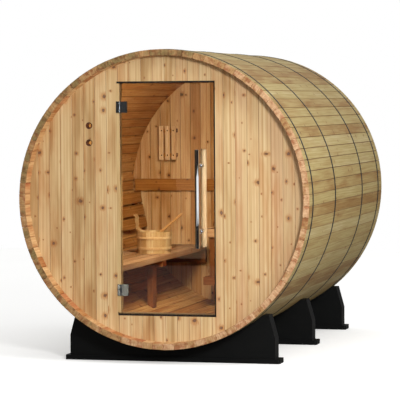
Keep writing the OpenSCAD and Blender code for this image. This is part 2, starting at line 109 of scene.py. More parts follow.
class StaveSide(IntEnum):
    """Material index of a stave's outer faces, cabin faces, eaves and sawn ends."""

    WEATHER = 0
    CABIN = 1
    EAVE = 2
    END = 3


# ---------------------------------------------------------------- colours and nodes

# how many finer layers lie over a noise
FINE, SOFT, BROAD = 3.0, 2.0, 1.0


def linear(code: str) -> tuple[float, float, float, float]:
    """Turns an sRGB hex colour into linear light.

    Args:
        code: Six hex digits after a hash sign.

    Returns:
        Red, green, blue and an alpha of one.
    """
    parts = (int(code[i : i + 2], 16) / 255 for i in (1, 3, 5))
    red, green, blue = (c / 12.92 if c <= 0.04045 else ((c + 0.055) / 1.055) ** 2.4 for c in parts)
    return red, green, blue, 1.0


def per_metre(*sizes_mm: float) -> tuple[float, ...]:
    """Turns feature sizes in millimetres into pattern repeats per metre."""
    return tuple(1 / (size * MM) if size else 0.0 for size in sizes_mm)


def add_node(
    tree: NodeTree,
    kind: str,
    settings: dict[str, Any] | None = None,
    inputs: dict[str | int, Any] | None = None,
) -> Node:
    """Adds one node with its settings and links.

    Args:
        tree: The tree that gets the node.
        kind: Blender's name for the kind of node.
        settings: Properties of the node.
        inputs: For each input, the socket that feeds it or a constant.

    Returns:
        The new node.
    """
    node = tree.nodes.new(kind)
    for key, value in (settings or {}).items():
        setattr(node, key, value)
    for key, value in (inputs or {}).items():
        if isinstance(value, NodeSocket):
            tree.links.new(value, node.inputs[key])
        else:
            node.inputs[key].default_value = value
    return node


def calc(tree: NodeTree, operation: str, *terms: Any, **settings: Any) -> NodeSocket:
    """Adds a sum of plain numbers and gives its result."""
    settings["operation"] = operation
    return add_node(tree, "ShaderNodeMath", settings, dict(enumerate(terms))).outputs[0]


def vector_calc(tree: NodeTree, operation: str, *terms: Any) -> NodeSocket:
    """Adds a sum of vectors and gives its result, which is a number for a length."""
    node = add_node(tree, "ShaderNodeVectorMath", {"operation": operation}, dict(enumerate(terms)))
    return node.outputs["Value" if operation == "LENGTH" else "Vector"]


def span(tree: NodeTree, value: NodeSocket, band: Pair, onto: Sequence[Any], **settings: Any) -> NodeSocket:
    """Stretches a band of values onto another.

    Args:
        tree: The tree that gets the node.
        value: The value to stretch.
        band: Where the band starts and ends.
        onto: What its start and end become.
        settings: Properties of the node.

    Returns:
        The stretched value, which stays between the two ends.
    """
    inputs = {"Value": value, "From Min": band[0], "From Max": band[1], "To Min": onto[0], "To Max": onto[1]}
    return add_node(tree, "ShaderNodeMapRange", settings, inputs).outputs[0]


def noise(tree: NodeTree, place: NodeSocket, size_mm: Triple, detail: float) -> NodeSocket:
    """Draws soft noise stretched to a size in three directions.

    Args:
        tree: The tree that gets the nodes.
        place: The place in the piece, in metres.
        size_mm: The size of one blotch in the three directions.
        detail: How many finer layers lie over it.

    Returns:
        The noise from nought to one.
    """
    spot = vector_calc(tree, "MULTIPLY", place, per_metre(*size_mm))
    inputs = {"Vector": spot, "Scale": 1.0, "Detail": detail}
    return add_node(tree, "ShaderNodeTexNoise", inputs=inputs).outputs[0]


def blend(tree: NodeTree, share: NodeSocket, under: Any, over: Any, how: str = "MIX") -> NodeSocket:
    """Lays a share of one colour over another."""
    settings = {"data_type": "RGBA", "blend_type": how}
    return add_node(tree, "ShaderNodeMix", settings, {0: share, 6: under, 7: over}).outputs[2]


def ramp(tree: NodeTree, value: NodeSocket, colours: Sequence[tuple[float, str]]) -> NodeSocket:
    """Turns a value into a colour.

    Args:
        tree: The tree that gets the node.
        value: The value from nought to one.
        colours: Values and the hex colours that they become.

    Returns:
        The colour.
    """
    node = add_node(tree, "ShaderNodeValToRGB", inputs={0: value})
    stops = node.color_ramp.elements
    while len(stops) < len(colours):
        stops.new(0.5)
    for stop, (spot, code) in zip(stops, colours):
        stop.position, stop.color = spot, linear(code)
    return node.outputs["Color"]


def split(tree: NodeTree, colour: NodeSocket) -> tuple[NodeSocket, ...]:
    """Splits a colour into its three numbers."""
    return tuple(add_node(tree, "ShaderNodeSeparateColor", inputs={0: colour}).outputs)


def bump(tree: NodeTree, height: NodeSocket, strength: float, depth_mm: float) -> NodeSocket:
    """Turns a height into relief."""
    inputs = {"Height": height, "Strength": strength, "Distance": depth_mm * MM}
    return add_node(tree, "ShaderNodeBump", inputs=inputs).outputs[0]


def object_place(tree: NodeTree) -> NodeSocket:
    """Gives the place in the object, in metres."""
    return add_node(tree, "ShaderNodeTexCoord").outputs["Object"]


# ---------------------------------------------------------------- finishes


@dataclass(frozen=True)
class Finish:
    """A real material and how its surface was made."""

    name: str

    def shader(self, tree: NodeTree) -> dict[str, Any]:
        """Gives what feeds the inputs of the surface shader: sockets of the tree, or constants."""
        raise NotImplementedError

    def material(self) -> Material:
        """Builds the material of the finish."""
        material = bpy.data.materials.new(self.name)
        material.use_nodes = True
        tree = material.node_tree
        tree.nodes.clear()
        surface = add_node(tree, "ShaderNodeBsdfPrincipled", inputs=self.shader(tree)).outputs[0]
        add_node(tree, "ShaderNodeOutputMaterial", inputs={"Surface": surface})
        return material


@dataclass(frozen=True)
class WoodFinish(Finish):
    """Sawn and planed softwood whose figure follows each board's own axes.

    The mesh carries two attributes: grain, the place in the board (along, across, through) in metres, and
    board, which holds the board's tone, its second random number, an end flag and an edge flag.
    """

    palette: tuple[str, ...]
    late_wood: str
    knot: str
    end_wood: str
    edge: str
    stain: str
    grey_knot: str = "#7a6458"
    # real growth rings are 2 to 3 mm apart: they are drawn coarser, because a pixel covers 6 mm
    ring_mm: float = 9.0
    heart_aside_mm: Pair = (45.0, 120.0)
    heart_behind_mm: Pair = (30.0, 90.0)
    bend_mm: float = 45.0
    fibre_mm: Triple = (260.0, 7.0, 7.0)
    wander_mm: Triple = (1500.0, 110.0, 110.0)
    patch_mm: Triple = (420.0, 60.0, 60.0)
    stain_mm: Triple = (380.0, 70.0, 70.0)
    wobble_mm: Triple = (13.0, 8.0, 8.0)
    knot_cell_mm: Triple = (230.0, 74.0, 0.0)
    knot_share: float = 0.55
    knot_radius_mm: Pair = (3.0, 12.0)
    knot_jitter: float = 0.9
    knot_squash: Pair = (0.65, 1.5)
    # the higher this power, the fewer of the knots are large
    knot_lot: float = 1.8
    # where a knot's heart, the wood bent round it and a dead knot's grey fade, in radii of the knot
    knot_rim: Pair = (1.0, 1.5)
    knot_halo: Pair = (1.2, 3.2)
    knot_grey: Pair = (0.8, 0.2)
    grey_share: float = 0.7
    knot_cover: float = 0.9
    knot_rise: float = -0.6
    figure: float = 0.55
    figure_band: Pair = (0.72, 1.3)
    patch: float = 0.25
    patch_band: Pair = (0.3, 0.7)
    stain_share: float = 0.3
    stain_band: Pair = (0.48, 0.66)
    halo_share: float = 0.6
    edge_share: float = 0.5
    least_edge_wear_and_shade: float = 0.3
    end_share: float = 0.85
    roughness: Pair = (0.5, 0.72)
    roughness_band: Pair = (0.6, 1.4)
    bump_mm: float = 0.5
    bump_strength: float = 0.5
    ior: float = 1.5

    def shader(self, tree: NodeTree) -> dict[str, Any]:
        """Wires the wood up."""
        grain = add_node(tree, "ShaderNodeAttribute", {"attribute_name": "grain"}).outputs["Vector"]
        board = add_node(tree, "ShaderNodeAttribute", {"attribute_name": "board"}).outputs
        tone, second, end = split(tree, board["Color"])
        core, halo, knot = self._knots(tree, grain)
        rings = self._rings(tree, grain, tone, second, halo)
        both = calc(tree, "ADD", rings, noise(tree, grain, self.fibre_mm, FINE))
        patch = noise(tree, grain, self.patch_mm, SOFT)
        blotch = noise(tree, grain, self.stain_mm, FINE)
        # the edge colour darkens the rounded arrises: worn, dirty joints on most boards, and painted shade in
        # the gaps between the bench slats and round the lamp shade's slats
        edge_wear_and_shade = span(tree, second, (0.0, 1.0), (self.least_edge_wear_and_shade * self.edge_share, self.edge_share))
        figure = span(tree, both, self.figure_band, (0.0, self.figure))
        shade = span(tree, patch, self.patch_band, (-self.patch, self.patch))
        stained = span(tree, blotch, self.stain_band, (0.0, self.stain_share))
        rough = span(tree, both, self.roughness_band, self.roughness)
        mixed = calc(tree, "ADD", tone, shade, use_clamp=True)
        last = len(self.palette) - 1
        colour = ramp(tree, mixed, [(i / last, code) for i, code in enumerate(self.palette)])
        for mask, most, layer in (
            (figure, 1.0, self.late_wood),
            (stained, 1.0, self.stain),
            (halo, self.halo_share, self.stain),
            (end, self.end_share, self.end_wood),
            (board["Alpha"], edge_wear_and_shade, self.edge),
        ):
            colour = blend(tree, calc(tree, "MULTIPLY", mask, most), colour, linear(layer), "MULTIPLY")
        colour = blend(tree, calc(tree, "MULTIPLY", core, self.knot_cover), colour, knot)
        height = calc(tree, "MULTIPLY_ADD", core, self.knot_rise, both)
        relief = bump(tree, height, self.bump_strength, self.bump_mm)
        return {"Base Color": colour, "Roughness": rough, "Normal": relief, "IOR": self.ior}

    def _knots(self, tree: NodeTree, grain: NodeSocket) -> tuple[NodeSocket, NodeSocket, NodeSocket]:
        """Scatters knots over the boards: many pin knots and a few large ones, round or drawn out.

        Args:
            tree: The material's tree.
            grain: The place in the board.

        Returns:
            The masks of the knots' hearts and of the wood that bends round them, and the hearts' colour.
        """
        cell = vector_calc(tree, "MULTIPLY", grain, per_metre(*self.knot_cell_mm))
        inputs = {"Vector": cell, "Scale": 1.0, "Randomness": self.knot_jitter}
        scatter = add_node(tree, "ShaderNodeTexVoronoi", {"voronoi_dimensions": "2D"}, inputs).outputs
        there_lot, size_lot, shape_lot = split(tree, scatter["Color"])
        away = vector_calc(tree, "SUBTRACT", cell, scatter["Position"])
        real = vector_calc(tree, "MULTIPLY", away, tuple(side * MM for side in self.knot_cell_mm))
        drawn = span(tree, shape_lot, (0.0, 1.0), self.knot_squash)
        squash = add_node(tree, "ShaderNodeCombineXYZ", inputs={0: 1.0, 1: drawn}).outputs[0]
        length = vector_calc(tree, "LENGTH", vector_calc(tree, "MULTIPLY", real, squash))
        lot = calc(tree, "POWER", size_lot, self.knot_lot)
        radius = span(tree, lot, (0.0, 1.0), [r * MM for r in self.knot_radius_mm])
        near = calc(tree, "DIVIDE", length, radius)
        ragged = calc(tree, "ADD", near, noise(tree, grain, self.wobble_mm, BROAD))
        there = calc(tree, "LESS_THAN", there_lot, self.knot_share)
        masks = []
        for rim in (self.knot_rim, self.knot_halo):
            soft = span(tree, ragged, rim, (1.0, 0.0), interpolation_type="SMOOTHSTEP")
            masks.append(calc(tree, "MULTIPLY", soft, there))
        # a dead knot is grey in the middle, a live one red brown right through
        dead = calc(tree, "MULTIPLY", span(tree, near, self.knot_grey, (0.0, self.grey_share)), shape_lot)
        return masks[0], masks[1], blend(tree, dead, linear(self.knot), linear(self.grey_knot))

    def _rings(
        self, tree: NodeTree, grain: NodeSocket, tone: NodeSocket, second: NodeSocket, halo: NodeSocket
    ) -> NodeSocket:
        """Draws growth rings about a heart that lies behind the board's face.

        Args:
            tree: The material's tree.
            grain: The place in the board.
            tone: The board's first random number.
            second: The board's second random number.
            halo: The mask of the wood round the knots.

        Returns:
            The ring pattern from nought to one.
        """
        wander = noise(tree, grain, self.wander_mm, BROAD)
        place = add_node(tree, "ShaderNodeSeparateXYZ", inputs={0: grain}).outputs
        aside = span(tree, second, (0.0, 1.0), [d * MM for d in self.heart_aside_mm])
        behind = span(tree, tone, (0.0, 1.0), [d * MM for d in self.heart_behind_mm])
        bent = calc(tree, "MULTIPLY_ADD", wander, self.bend_mm * MM, aside)
        across, through = calc(tree, "ADD", place[1], bent), calc(tree, "ADD", place[2], behind)
        flat = add_node(tree, "ShaderNodeCombineXYZ", inputs={0: across, 1: through}).outputs[0]
        radius = vector_calc(tree, "LENGTH", flat)
        ring = calc(tree, "MULTIPLY_ADD", radius, *per_metre(self.ring_mm), halo)
        inputs = {"W": ring, "Scale": 1.0, "Detail": SOFT}
        return add_node(tree, "ShaderNodeTexNoise", {"noise_dimensions": "1D"}, inputs).outputs[0]


@dataclass(frozen=True)
class PlainFinish(Finish):
    """A moulded, rolled or polished surface with soft colour drift, fine relief and scuffs."""

    colour: str
    drift: str
    metallic: float
    roughness: Pair
    drift_mm: Triple
    relief_mm: Triple
    relief_depth_mm: float
    relief_strength: float = 0.3
    drift_share: float = 0.6
    drift_band: Pair = (0.35, 0.75)
    relief_band: Pair = (0.3, 0.7)
    specular: float = 0.5

    def shader(self, tree: NodeTree) -> dict[str, Any]:
        """Wires the surface up."""
        place = object_place(tree)
        drift, relief = noise(tree, place, self.drift_mm, FINE), noise(tree, place, self.relief_mm, SOFT)
        share = span(tree, drift, self.drift_band, (0.0, self.drift_share))
        return {
            "Base Color": blend(tree, share, linear(self.colour), linear(self.drift)),
            "Roughness": span(tree, relief, self.relief_band, self.roughness),
            "Normal": bump(tree, relief, self.relief_strength, self.relief_depth_mm),
            "Metallic": self.metallic,
            "Specular IOR Level": self.specular,
        }


@dataclass(frozen=True)
class GlassFinish(Finish):
    """Clear float glass with a light body tint and a trace of wiping marks."""

    tint: str
    smear_mm: Triple
    roughness: Pair
    smear_band: Pair = (0.45, 0.8)
    relief_strength: float = 0.02
    relief_depth_mm: float = 0.02
    ior: float = 1.5
    specular: float = 0.15

    def shader(self, tree: NodeTree) -> dict[str, Any]:
        """Wires the glass up."""
        smear = noise(tree, object_place(tree), self.smear_mm, SOFT)
        return {
            "Base Color": linear(self.tint),
            "Roughness": span(tree, smear, self.smear_band, self.roughness),
            "Normal": bump(tree, smear, self.relief_strength, self.relief_depth_mm),
            "IOR": self.ior,
            "Specular IOR Level": self.specular,
            "Transmission Weight": 1.0,
        }


@dataclass(frozen=True)
class PaperFinish(Finish):
    """Studio paper for the floor, which isn't part of the sauna."""

    seen: str
    mottle: str
    thrown: str
    mottle_mm: float
    glow: float
    roughness: float = 0.95

    def shader(self, tree: NodeTree) -> dict[str, Any]:
        """Wires the paper up."""
        inputs = {"Vector": object_place(tree), "Scale": per_metre(self.mottle_mm)[0]}
        mottle = add_node(tree, "ShaderNodeTexNoise", inputs=inputs).outputs[0]
        ray = add_node(tree, "ShaderNodeLightPath").outputs["Is Camera Ray"]
        white = blend(tree, mottle, linear(self.seen), linear(self.mottle))
        return {
            "Base Color": blend(tree, ray, linear(self.thrown), white),
            "Roughness": self.roughness,
            "Specular IOR Level": 0.0,
            "Emission Color": linear(self.seen),
            "Emission Strength": calc(tree, "MULTIPLY", ray, self.glow),
        }


@cache
def made(finish: Finish) -> Material:
    """Gives the material of a finish, which is built at its first use."""
    return finish.material()


# Western cedar, planed and left outdoors without oil: the sun has taken the red out, so the faces are a dry
# olive tan, with orange brown seams, tan water marks and a few staves still brown.
WEATHERED_CEDAR = WoodFinish(
    name="weathered_planed_cedar",
    palette=("#9e7c46", "#b29a64", "#b5a26b", "#b9a771", "#c0af7e"),
    late_wood="#cdb68c", knot="#6b4a2a", end_wood="#e0b89a", edge="#a06c34", stain="#d0aa74",
    stain_mm=(460.0, 40.0, 40.0), stain_share=0.32, edge_share=0.75,
    knot_share=0.6, knot_radius_mm=(2.5, 9.0),
)
# The same cedar where the saw crossed it: open end grain that soaks up dirt, so each stave end is blotched
# with olive, tan and rust.
SAWN_END_CEDAR = WoodFinish(
    name="sawn_cedar_end_grain",
    palette=("#8a7446", "#b08a5a", "#b28b5a", "#c8a178", "#d2ac84"),
    late_wood="#b08e62", knot="#6b4426", end_wood="#ffffff", edge="#d8b890", stain="#c08450",
    ring_mm=6.0, fibre_mm=(14.0, 14.0, 14.0), patch_mm=(90.0, 40.0, 40.0), stain_mm=(60.0, 34.0, 34.0),
    knot_share=0.0, figure=0.6, patch=0.22, stain_share=0.7, end_share=0.0,
    roughness=(0.7, 0.9), bump_mm=1.2,
)
# The same cedar on the cabin side, out of the sun: a deep orange brown that heat has darkened.
CABIN_CEDAR = WoodFinish(
    name="planed_cabin_cedar",
    palette=("#b2793c", "#bf884b", "#c79456", "#ce9f62", "#ba7f42"),
    late_wood="#c69c66", knot="#40200e", end_wood="#b07a50", edge="#5a3010", stain="#b07a44",
    grey_knot="#4c3020", knot_radius_mm=(4.0, 14.0), figure=0.7, edge_share=0.8,
)
# Cedar boards of the back wall, planed: tan boards of uneven depth with dark live knots, a paler copy of the
# cabin cedar that is painted light where the light falls on the wall face on.
LIT_BACK_CEDAR = replace(
    CABIN_CEDAR,
    name="back_wall_cedar_painted_light",
    palette=("#ac7c48", "#c39a68", "#d2ae80", "#cea678", "#b48454"),
    late_wood="#d0aa7c", stain="#c0905c", knot_cell_mm=(250.0, 74.0, 0.0), knot_share=0.65,
)
# Rails of the back wall and the backrest, planed: a darker copy of the cabin cedar, a shade deeper than the
# boards behind them.
RAIL_CEDAR = replace(
    CABIN_CEDAR, name="deep_rail_cedar", palette=("#a06a30", "#aa7438", "#b47e40"), edge_share=0.5
)
# Bench boards that are scrubbed after use: the red is washed out, which leaves a dull pinkish tan, made paler
# still as painted light on the lit seat; the near-black arrises are painted shade in the gaps between the
# slats.
SCRUBBED_LIT_BENCH_CEDAR = replace(
    CABIN_CEDAR,
    name="scrubbed_bench_cedar_painted_light",
    palette=("#98724c", "#ad8864", "#ba9674"),
    late_wood="#cda67e", stain="#bc9068", edge="#3c1e0c", edge_share=1.0,
)
# Heartwood under the bench and in the guard, rough planed: dark brown, partly the wood's darker heart and
# partly painted shade where little light reaches.
SHADED_HEART_CEDAR = replace(
    CABIN_CEDAR, name="heartwood_painted_shade", palette=("#7c4a26", "#87532c", "#925c34"), edge="#6a4020"
)
# Pale sapwood, planed, for the lamp shade's slats and the guard's top rails: light tan, its paler tone
# painted light where the light falls on them, with dark arrises that are painted shade round the slats.
LIT_SAPWOOD = replace(
    LIT_BACK_CEDAR,
    name="planed_sapwood_painted_light",
    palette=("#d4b086", "#dcba92", "#e1c19a"),
    edge="#70421c", knot_share=0.2,
)
# Knotty tongued cedar boards of the front wall, planed and fresh: honey and salmon boards side by side with
# many small brown knots and a thin brown line in each groove.
FRONT_CEDAR = WoodFinish(
    name="knotty_planed_front_cedar",
    palette=("#b49464", "#cbae7e", "#d4ba8c", "#d4b88a", "#d0b086"),
    late_wood="#d3b183", knot="#5e3a22", end_wood="#b88a60", edge="#a07444", stain="#e2ba92",
    grey_knot="#806c62", ring_mm=12.0, fibre_mm=(700.0, 7.0, 7.0), wander_mm=(2600.0, 120.0, 120.0),
    knot_cell_mm=(180.0, 74.0, 0.0), knot_share=0.72, knot_radius_mm=(3.0, 15.0),
    figure=0.65, patch=0.3, stain_share=0.5, halo_share=0.8,
)
# The same boards where a drill went through them: dull end grain, drawn dark brown as painted shade inside
# the holes.
SHADED_BORE_CEDAR = WoodFinish(
    name="bored_end_grain_painted_shade",
    palette=("#5a2e10", "#683614"),
    late_wood="#8a6038", knot="#3a2414", end_wood="#6a4a30", edge="#6a4a30", stain="#8a6038", knot_share=0.0,
)
# Cedar under the eaves, planed and out of the rain: orange, cream and salmon staves side by side.
EAVE_CEDAR = WoodFinish(
    name="planed_eave_cedar",
    palette=("#b67a40", "#cda06a", "#dcb884", "#cf9a66", "#be7c4e"),
    late_wood="#cba274", knot="#7a4a2a", end_wood="#e2bfa0", edge="#b08250", stain="#cf9c68", stain_share=0.5,
)
# Pale sapwood posts and stops, planed and square: cream with faint straight lines and hardly a knot.
PALE_POST = WoodFinish(
    name="planed_pale_sapwood",
    palette=("#c6aa78", "#ccb182", "#d0b68a"),
    late_wood="#cfae7c", knot="#9a6b3c", end_wood="#cfa874", edge="#c9a266", stain="#d8b488", knot_share=0.08,
)
# The same sapwood turned to a round bar: no square edges, so the cream runs evenly round it.
PALE_BAR = replace(
    PALE_POST, name="turned_pale_sapwood", palette=("#e2d0a6", "#e8d8b2", "#ecdebc"), edge_share=0.0
)
# Coopered pine of the bucket's staves, sanded smooth: even pale straw with a slight sheen.
BUCKET_PINE = WoodFinish(
    name="sanded_bucket_pine",
    palette=("#ac8a5c", "#b99a6c", "#c4a87e"),
    late_wood="#d2ac78", knot="#a8743e", end_wood="#d0a068", edge="#b08450", stain="#dcb888",
    ring_mm=6.0, knot_share=0.03, roughness=(0.42, 0.58),
)
# Split and bent pine of the bucket's bands: paler than the staves, evenly rounded.
BENT_PINE = replace(
    BUCKET_PINE,
    name="bent_band_pine",
    palette=("#c4a478", "#caac80", "#d0b48a"),
    late_wood="#dcba86", edge_share=0.0, end_share=0.2,
)
# Turned alder of the ladle, oiled by use: an even orange brown.
LADLE_ALDER = replace(BENT_PINE, name="turned_ladle_alder", palette=("#a87a4a", "#b08250", "#b88a58"))
# Black polypropylene, moulded with a fine spark-eroded skin: almost no colour, broad dull highlights on the
# rounded edges and a grey bloom where it is handled.
BLACK_POLYPROPYLENE = PlainFinish(
    name="moulded_black_polypropylene", colour="#050606", drift="#0a0b0b", metallic=0.0,
    roughness=(0.42, 0.6), drift_mm=(90, 90, 60), relief_mm=(5, 5, 5), relief_depth_mm=0.15, specular=0.15,
)
# Cold-rolled steel strap with its mill scale: blue black, dull, a little worn.
STRAP_STEEL = PlainFinish(
    name="rolled_black_strap_steel", colour="#2e3438", drift="#454b4e", metallic=0.8,
    roughness=(0.42, 0.6), drift_mm=(120, 40, 120), relief_mm=(30, 4, 30), relief_depth_mm=0.1,
)
# Stainless plate with a brushed face: grey with short upright lines.
BRUSHED_STAINLESS = PlainFinish(
    name="brushed_stainless_plate", colour="#747a80", drift="#5c6268", metallic=1.0,
    roughness=(0.17, 0.26), drift_mm=(40, 40, 60), relief_mm=(3, 3, 60), relief_depth_mm=0.05,
)
# Stainless tube polished to a mirror: it shows the room, with faint wiping lines along it.
POLISHED_STAINLESS = PlainFinish(
    name="polished_stainless_tube", colour="#d2d5d8", drift="#c2c6ca", metallic=1.0,
    roughness=(0.01, 0.025), drift_mm=(30, 30, 120), relief_mm=(6, 6, 150), relief_depth_mm=0.004,
    relief_strength=0.05,
)
# Extruded rubber strip: matt black with a dusty bloom.
BLACK_RUBBER = PlainFinish(
    name="extruded_black_rubber", colour="#080808", drift="#141414", metallic=0.0,
    roughness=(0.6, 0.8), drift_mm=(30, 30, 80), relief_mm=(4, 4, 40), relief_depth_mm=0.1,
)
# Bronze-tint toughened float glass, polished edges: almost clear, warm grey, a soft sheen of the room.
BRONZE_GLASS = GlassFinish(
    name="toughened_bronze_float_glass", tint="#efe4d8", smear_mm=(160, 160, 240), roughness=(0.0, 0.02)
)
# Matt studio paper: white to the camera with a trace of mottling, but it throws little light back up, as the
# ground round the real sauna did.
STUDIO_PAPER = PaperFinish(
    name="matt_studio_paper", seen="#f6f6f5", mottle="#f0f0ef", thrown="#8a8784", mottle_mm=900.0, glow=0.35
)


# ---------------------------------------------------------------- mesh stock


@dataclass(frozen=True)
class Axes:
    """The directions of one board: along its grain, across its face and through its thickness."""

    origin: Vector
    along: Vector
    across: Vector
    through: Vector

    def grain(self, point: Vector) -> Vector:
        """Gives a point's place in the board."""
        away = point - self.origin
        return Vector((away.dot(self.along), away.dot(self.across), away.dot(self.through)))


@dataclass(frozen=True)
class BoardLook:
    """What makes one board differ from the next: two random numbers and its place in the log."""

    tone: float
    second: float
    shift: Vector


class Stock:
    """Collects the boards or plates of one piece into a mesh with the attributes that finishes read."""

    def __init__(self, seed: int) -> None:
        """Starts an empty mesh with its own random numbers."""
        self.mesh = bmesh.new()
        self.grain = self.mesh.verts.layers.float_vector.new("grain")
        self.board = self.mesh.faces.layers.float_color.new("board")
        self.random = random.Random(seed)

    def look(self) -> BoardLook:
        """Draws the next board's look."""
        shift = Vector((self.random.uniform(0, LOG_LENGTH), self.random.uniform(0, LOG_WIDTH), 0))
        return BoardLook(self.random.random(), self.random.random(), shift)

    def loft(
        self,
        rings: Sequence[Sequence[Vector]],
        axes: Axes,
        look: BoardLook,
        index_of: Callable[[BMFace], int],
    ) -> list[BMFace]:
        """Adds one closed board as a skin over matching rings of points.

        Args:
            rings: Rings of points from one end of the board to the other.
            axes: The board's directions.
            look: The board's look.
            index_of: Gives the material index of a face.

        Returns:
            The board's faces.
        """
        loops = [[self.mesh.verts.new(point) for point in ring] for ring in rings]
        faces = [self.mesh.faces.new(loops[0][::-1]), self.mesh.faces.new(loops[-1])]
        for low, high in zip(loops, loops[1:]):
            for i in range(len(low)):
                j = (i + 1) % len(low)
                faces.append(self.mesh.faces.new((low[i], low[j], high[j], high[i])))
        bmesh.ops.recalc_face_normals(self.mesh, faces=faces)
        self._mark([vert for loop in loops for vert in loop], faces, axes, look, index_of)
        return faces

    def take(self, source: BMesh, axes_of: Callable[[Vector], Axes] | None = None, index: int = 0) -> None:
        """Adds every loose part of a mesh as a board of its own, and frees that mesh.

        Args:
            source: The mesh to take over.
            axes_of: Gives the directions of a part from its centre, where its box doesn't tell them.
            index: The material index of the faces.
        """
        for part in loose_parts(source):
            verts = {vert: self.mesh.verts.new(vert.co) for face in part for vert in face.verts}
            faces = [self.mesh.faces.new([verts[vert] for vert in face.verts]) for face in part]
            points = [vert.co for vert in verts]
            axes = axes_of(sum(points, Vector()) / len(points)) if axes_of else box_axes(points)
            self._mark(verts.values(), faces, axes, self.look(), lambda face: index)
        source.free()

    def _mark(
        self,
        verts: Iterable[BMVert],
        faces: Iterable[BMFace],
        axes: Axes,
        look: BoardLook,
        index_of: Callable[[BMFace], int],
    ) -> None:
        """Writes the attributes of one board.

        Args:
            verts: The board's points.
            faces: The board's faces.
            axes: The board's directions.
            look: The board's look.
            index_of: Gives the material index of a face.
        """
        for vert in verts:
            vert[self.grain] = axes.grain(vert.co) + look.shift
        for face in faces:
            face.normal_update()
            turns = [abs(face.normal.dot(way)) for way in (axes.along, axes.across, axes.through)]
            end, edge = float(turns[0] > END_COS), float(max(turns) < FLAT_COS)
            face[self.board] = (look.tone, look.second, end, edge)
            face.material_index = index_of(face)

    def piece(
        self,
        name: str,
        finishes: Sequence[Finish],
        slot: Slot,
        nodes: Sequence[str],
        body: Body = Body.SAUNA,
        shading: Shading = Shading.FACETED,
    ) -> Object:
        """Turns the collected mesh into a piece that rides on a body.

        Args:
            name: The piece's name.
            finishes: The finishes in the order of the faces' indices.
            slot: The record's slot that the finish belongs to; not used.
            nodes: The nodes that the piece stands for.
            body: The body that carries the piece.
            shading: Whether the faces are shaded flat or as round surfaces.

        Returns:
            The new object.
        """
        data = bpy.data.meshes.new(name)
        for face in self.mesh.faces:
            face.smooth = shading is Shading.ROUNDED
        self.mesh.to_mesh(data)
        self.mesh.free()
        for finish in finishes:
            data.materials.append(made(finish))
        piece = bpy.data.objects.new(name, data)
        bpy.context.scene.collection.objects.link(piece)
        if shading is Shading.ROUNDED:
            data.set_sharp_from_angle(angle=CREASE)
            piece.modifiers.new("even_normals", "WEIGHTED_NORMAL").keep_sharp = True
        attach(piece, body.value)
        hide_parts(*nodes)
        return piece


def rounded_solid(node: str, width: float, segments: int) -> BMesh:
    """Copies a solid's mesh and rounds its sharp edges over.

    Args:
        node: The solid's node, whose mesh stays as it is.
        width: The width of the rounding in metres; nought leaves the edges sharp.
        segments: The number of faces over each rounding.

    Returns:
        The rounded copy.
    """
    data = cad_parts[node].data
    copy = bmesh.new()
    verts = [copy.verts.new(vert.co) for vert in data.vertices]
    for polygon in data.polygons:
        copy.faces.new([verts[i] for i in polygon.vertices])
    bmesh.ops.remove_doubles(copy, verts=copy.verts, dist=WELD)
    bmesh.ops.dissolve_limit(copy, angle_limit=FLAT_TURN, verts=copy.verts, edges=copy.edges)
    round_edges(copy, width, segments)
    return copy


def round_edges(mesh: BMesh, width: float, segments: int) -> None:
    """Rounds the sharp edges of a mesh over.

    Args:
        mesh: The mesh to work on.
        width: The width of the rounding in metres; nought leaves the edges sharp.
        segments: The number of faces over each rounding.
    """
    sharp = [e for e in mesh.edges if len(e.link_faces) == 2 and e.calc_face_angle() > SHARP_TURN]
    if width and sharp:
        bmesh.ops.bevel(
            mesh, geom=sharp, offset=width, segments=segments, profile=0.5, affect="EDGES", clamp_overlap=True
        )
    bmesh.ops.recalc_face_normals(mesh, faces=mesh.faces)


def turned(start: Vector, way: Vector, radius: float, height: float, sides: int, edge: float) -> BMesh:
    """Makes a short prism or disc with rounded rims.

    Args:
        start: The middle of its foot.
        way: The direction from its foot to its head.
        radius: Its radius.
        height: Its height.
        sides: The number of its sides.
        edge: The width of the rounding.

    Returns:
        The mesh.
    """
    mesh = bmesh.new()
    place = Matrix.Translation(start + way * height / 2) @ way.to_track_quat("Z", "Y").to_matrix().to_4x4()
    bmesh.ops.create_cone(
        mesh, cap_ends=True, segments=sides, radius1=radius, radius2=radius, depth=height, matrix=place
    )
    round_edges(mesh, edge, segments=2)
    return mesh


def loose_parts(mesh: BMesh) -> list[list[BMFace]]:
    """Splits a mesh's faces into one list for each of its loose parts."""
    left = set(mesh.faces)
    parts = []
    for first in mesh.faces:
        if first not in left:
            continue
        left.discard(first)
        part = [first]
        for face in part:
            for other in (other for edge in face.edges for other in edge.link_faces):
                if other in left:
                    left.discard(other)
                    part.append(other)
        parts.append(part)
    return parts


def corners(points: Sequence[Vector]) -> tuple[Vector, Vector]:
    """Gives the lowest and the highest corner of the box round some points."""
    low, high = (Vector([pick(p[i] for p in points) for i in range(3)]) for pick in (min, max))
    return low, high


def box_axes(points: Sequence[Vector]) -> Axes:
    """Finds a board's directions from the box round its points: the longest side is the grain."""
    low, high = corners(points)
    order = sorted(range(3), key=lambda i: high[i] - low[i], reverse=True)
    ways = [Vector([float(i == k) for i in range(3)]) for k in order]
    return Axes((low + high) / 2, *ways)


def part_boxes(node: str) -> list[tuple[Vector, Vector]]:
    """Gives the lowest and the highest corner of each loose part of a node."""
    mesh = rounded_solid(node, 0, segments=1)
    boxes = [corners([vert.co for face in part for vert in face.verts]) for part in loose_parts(mesh)]
    mesh.free()
    return boxes


# ---------------------------------------------------------------- sub-assemblies


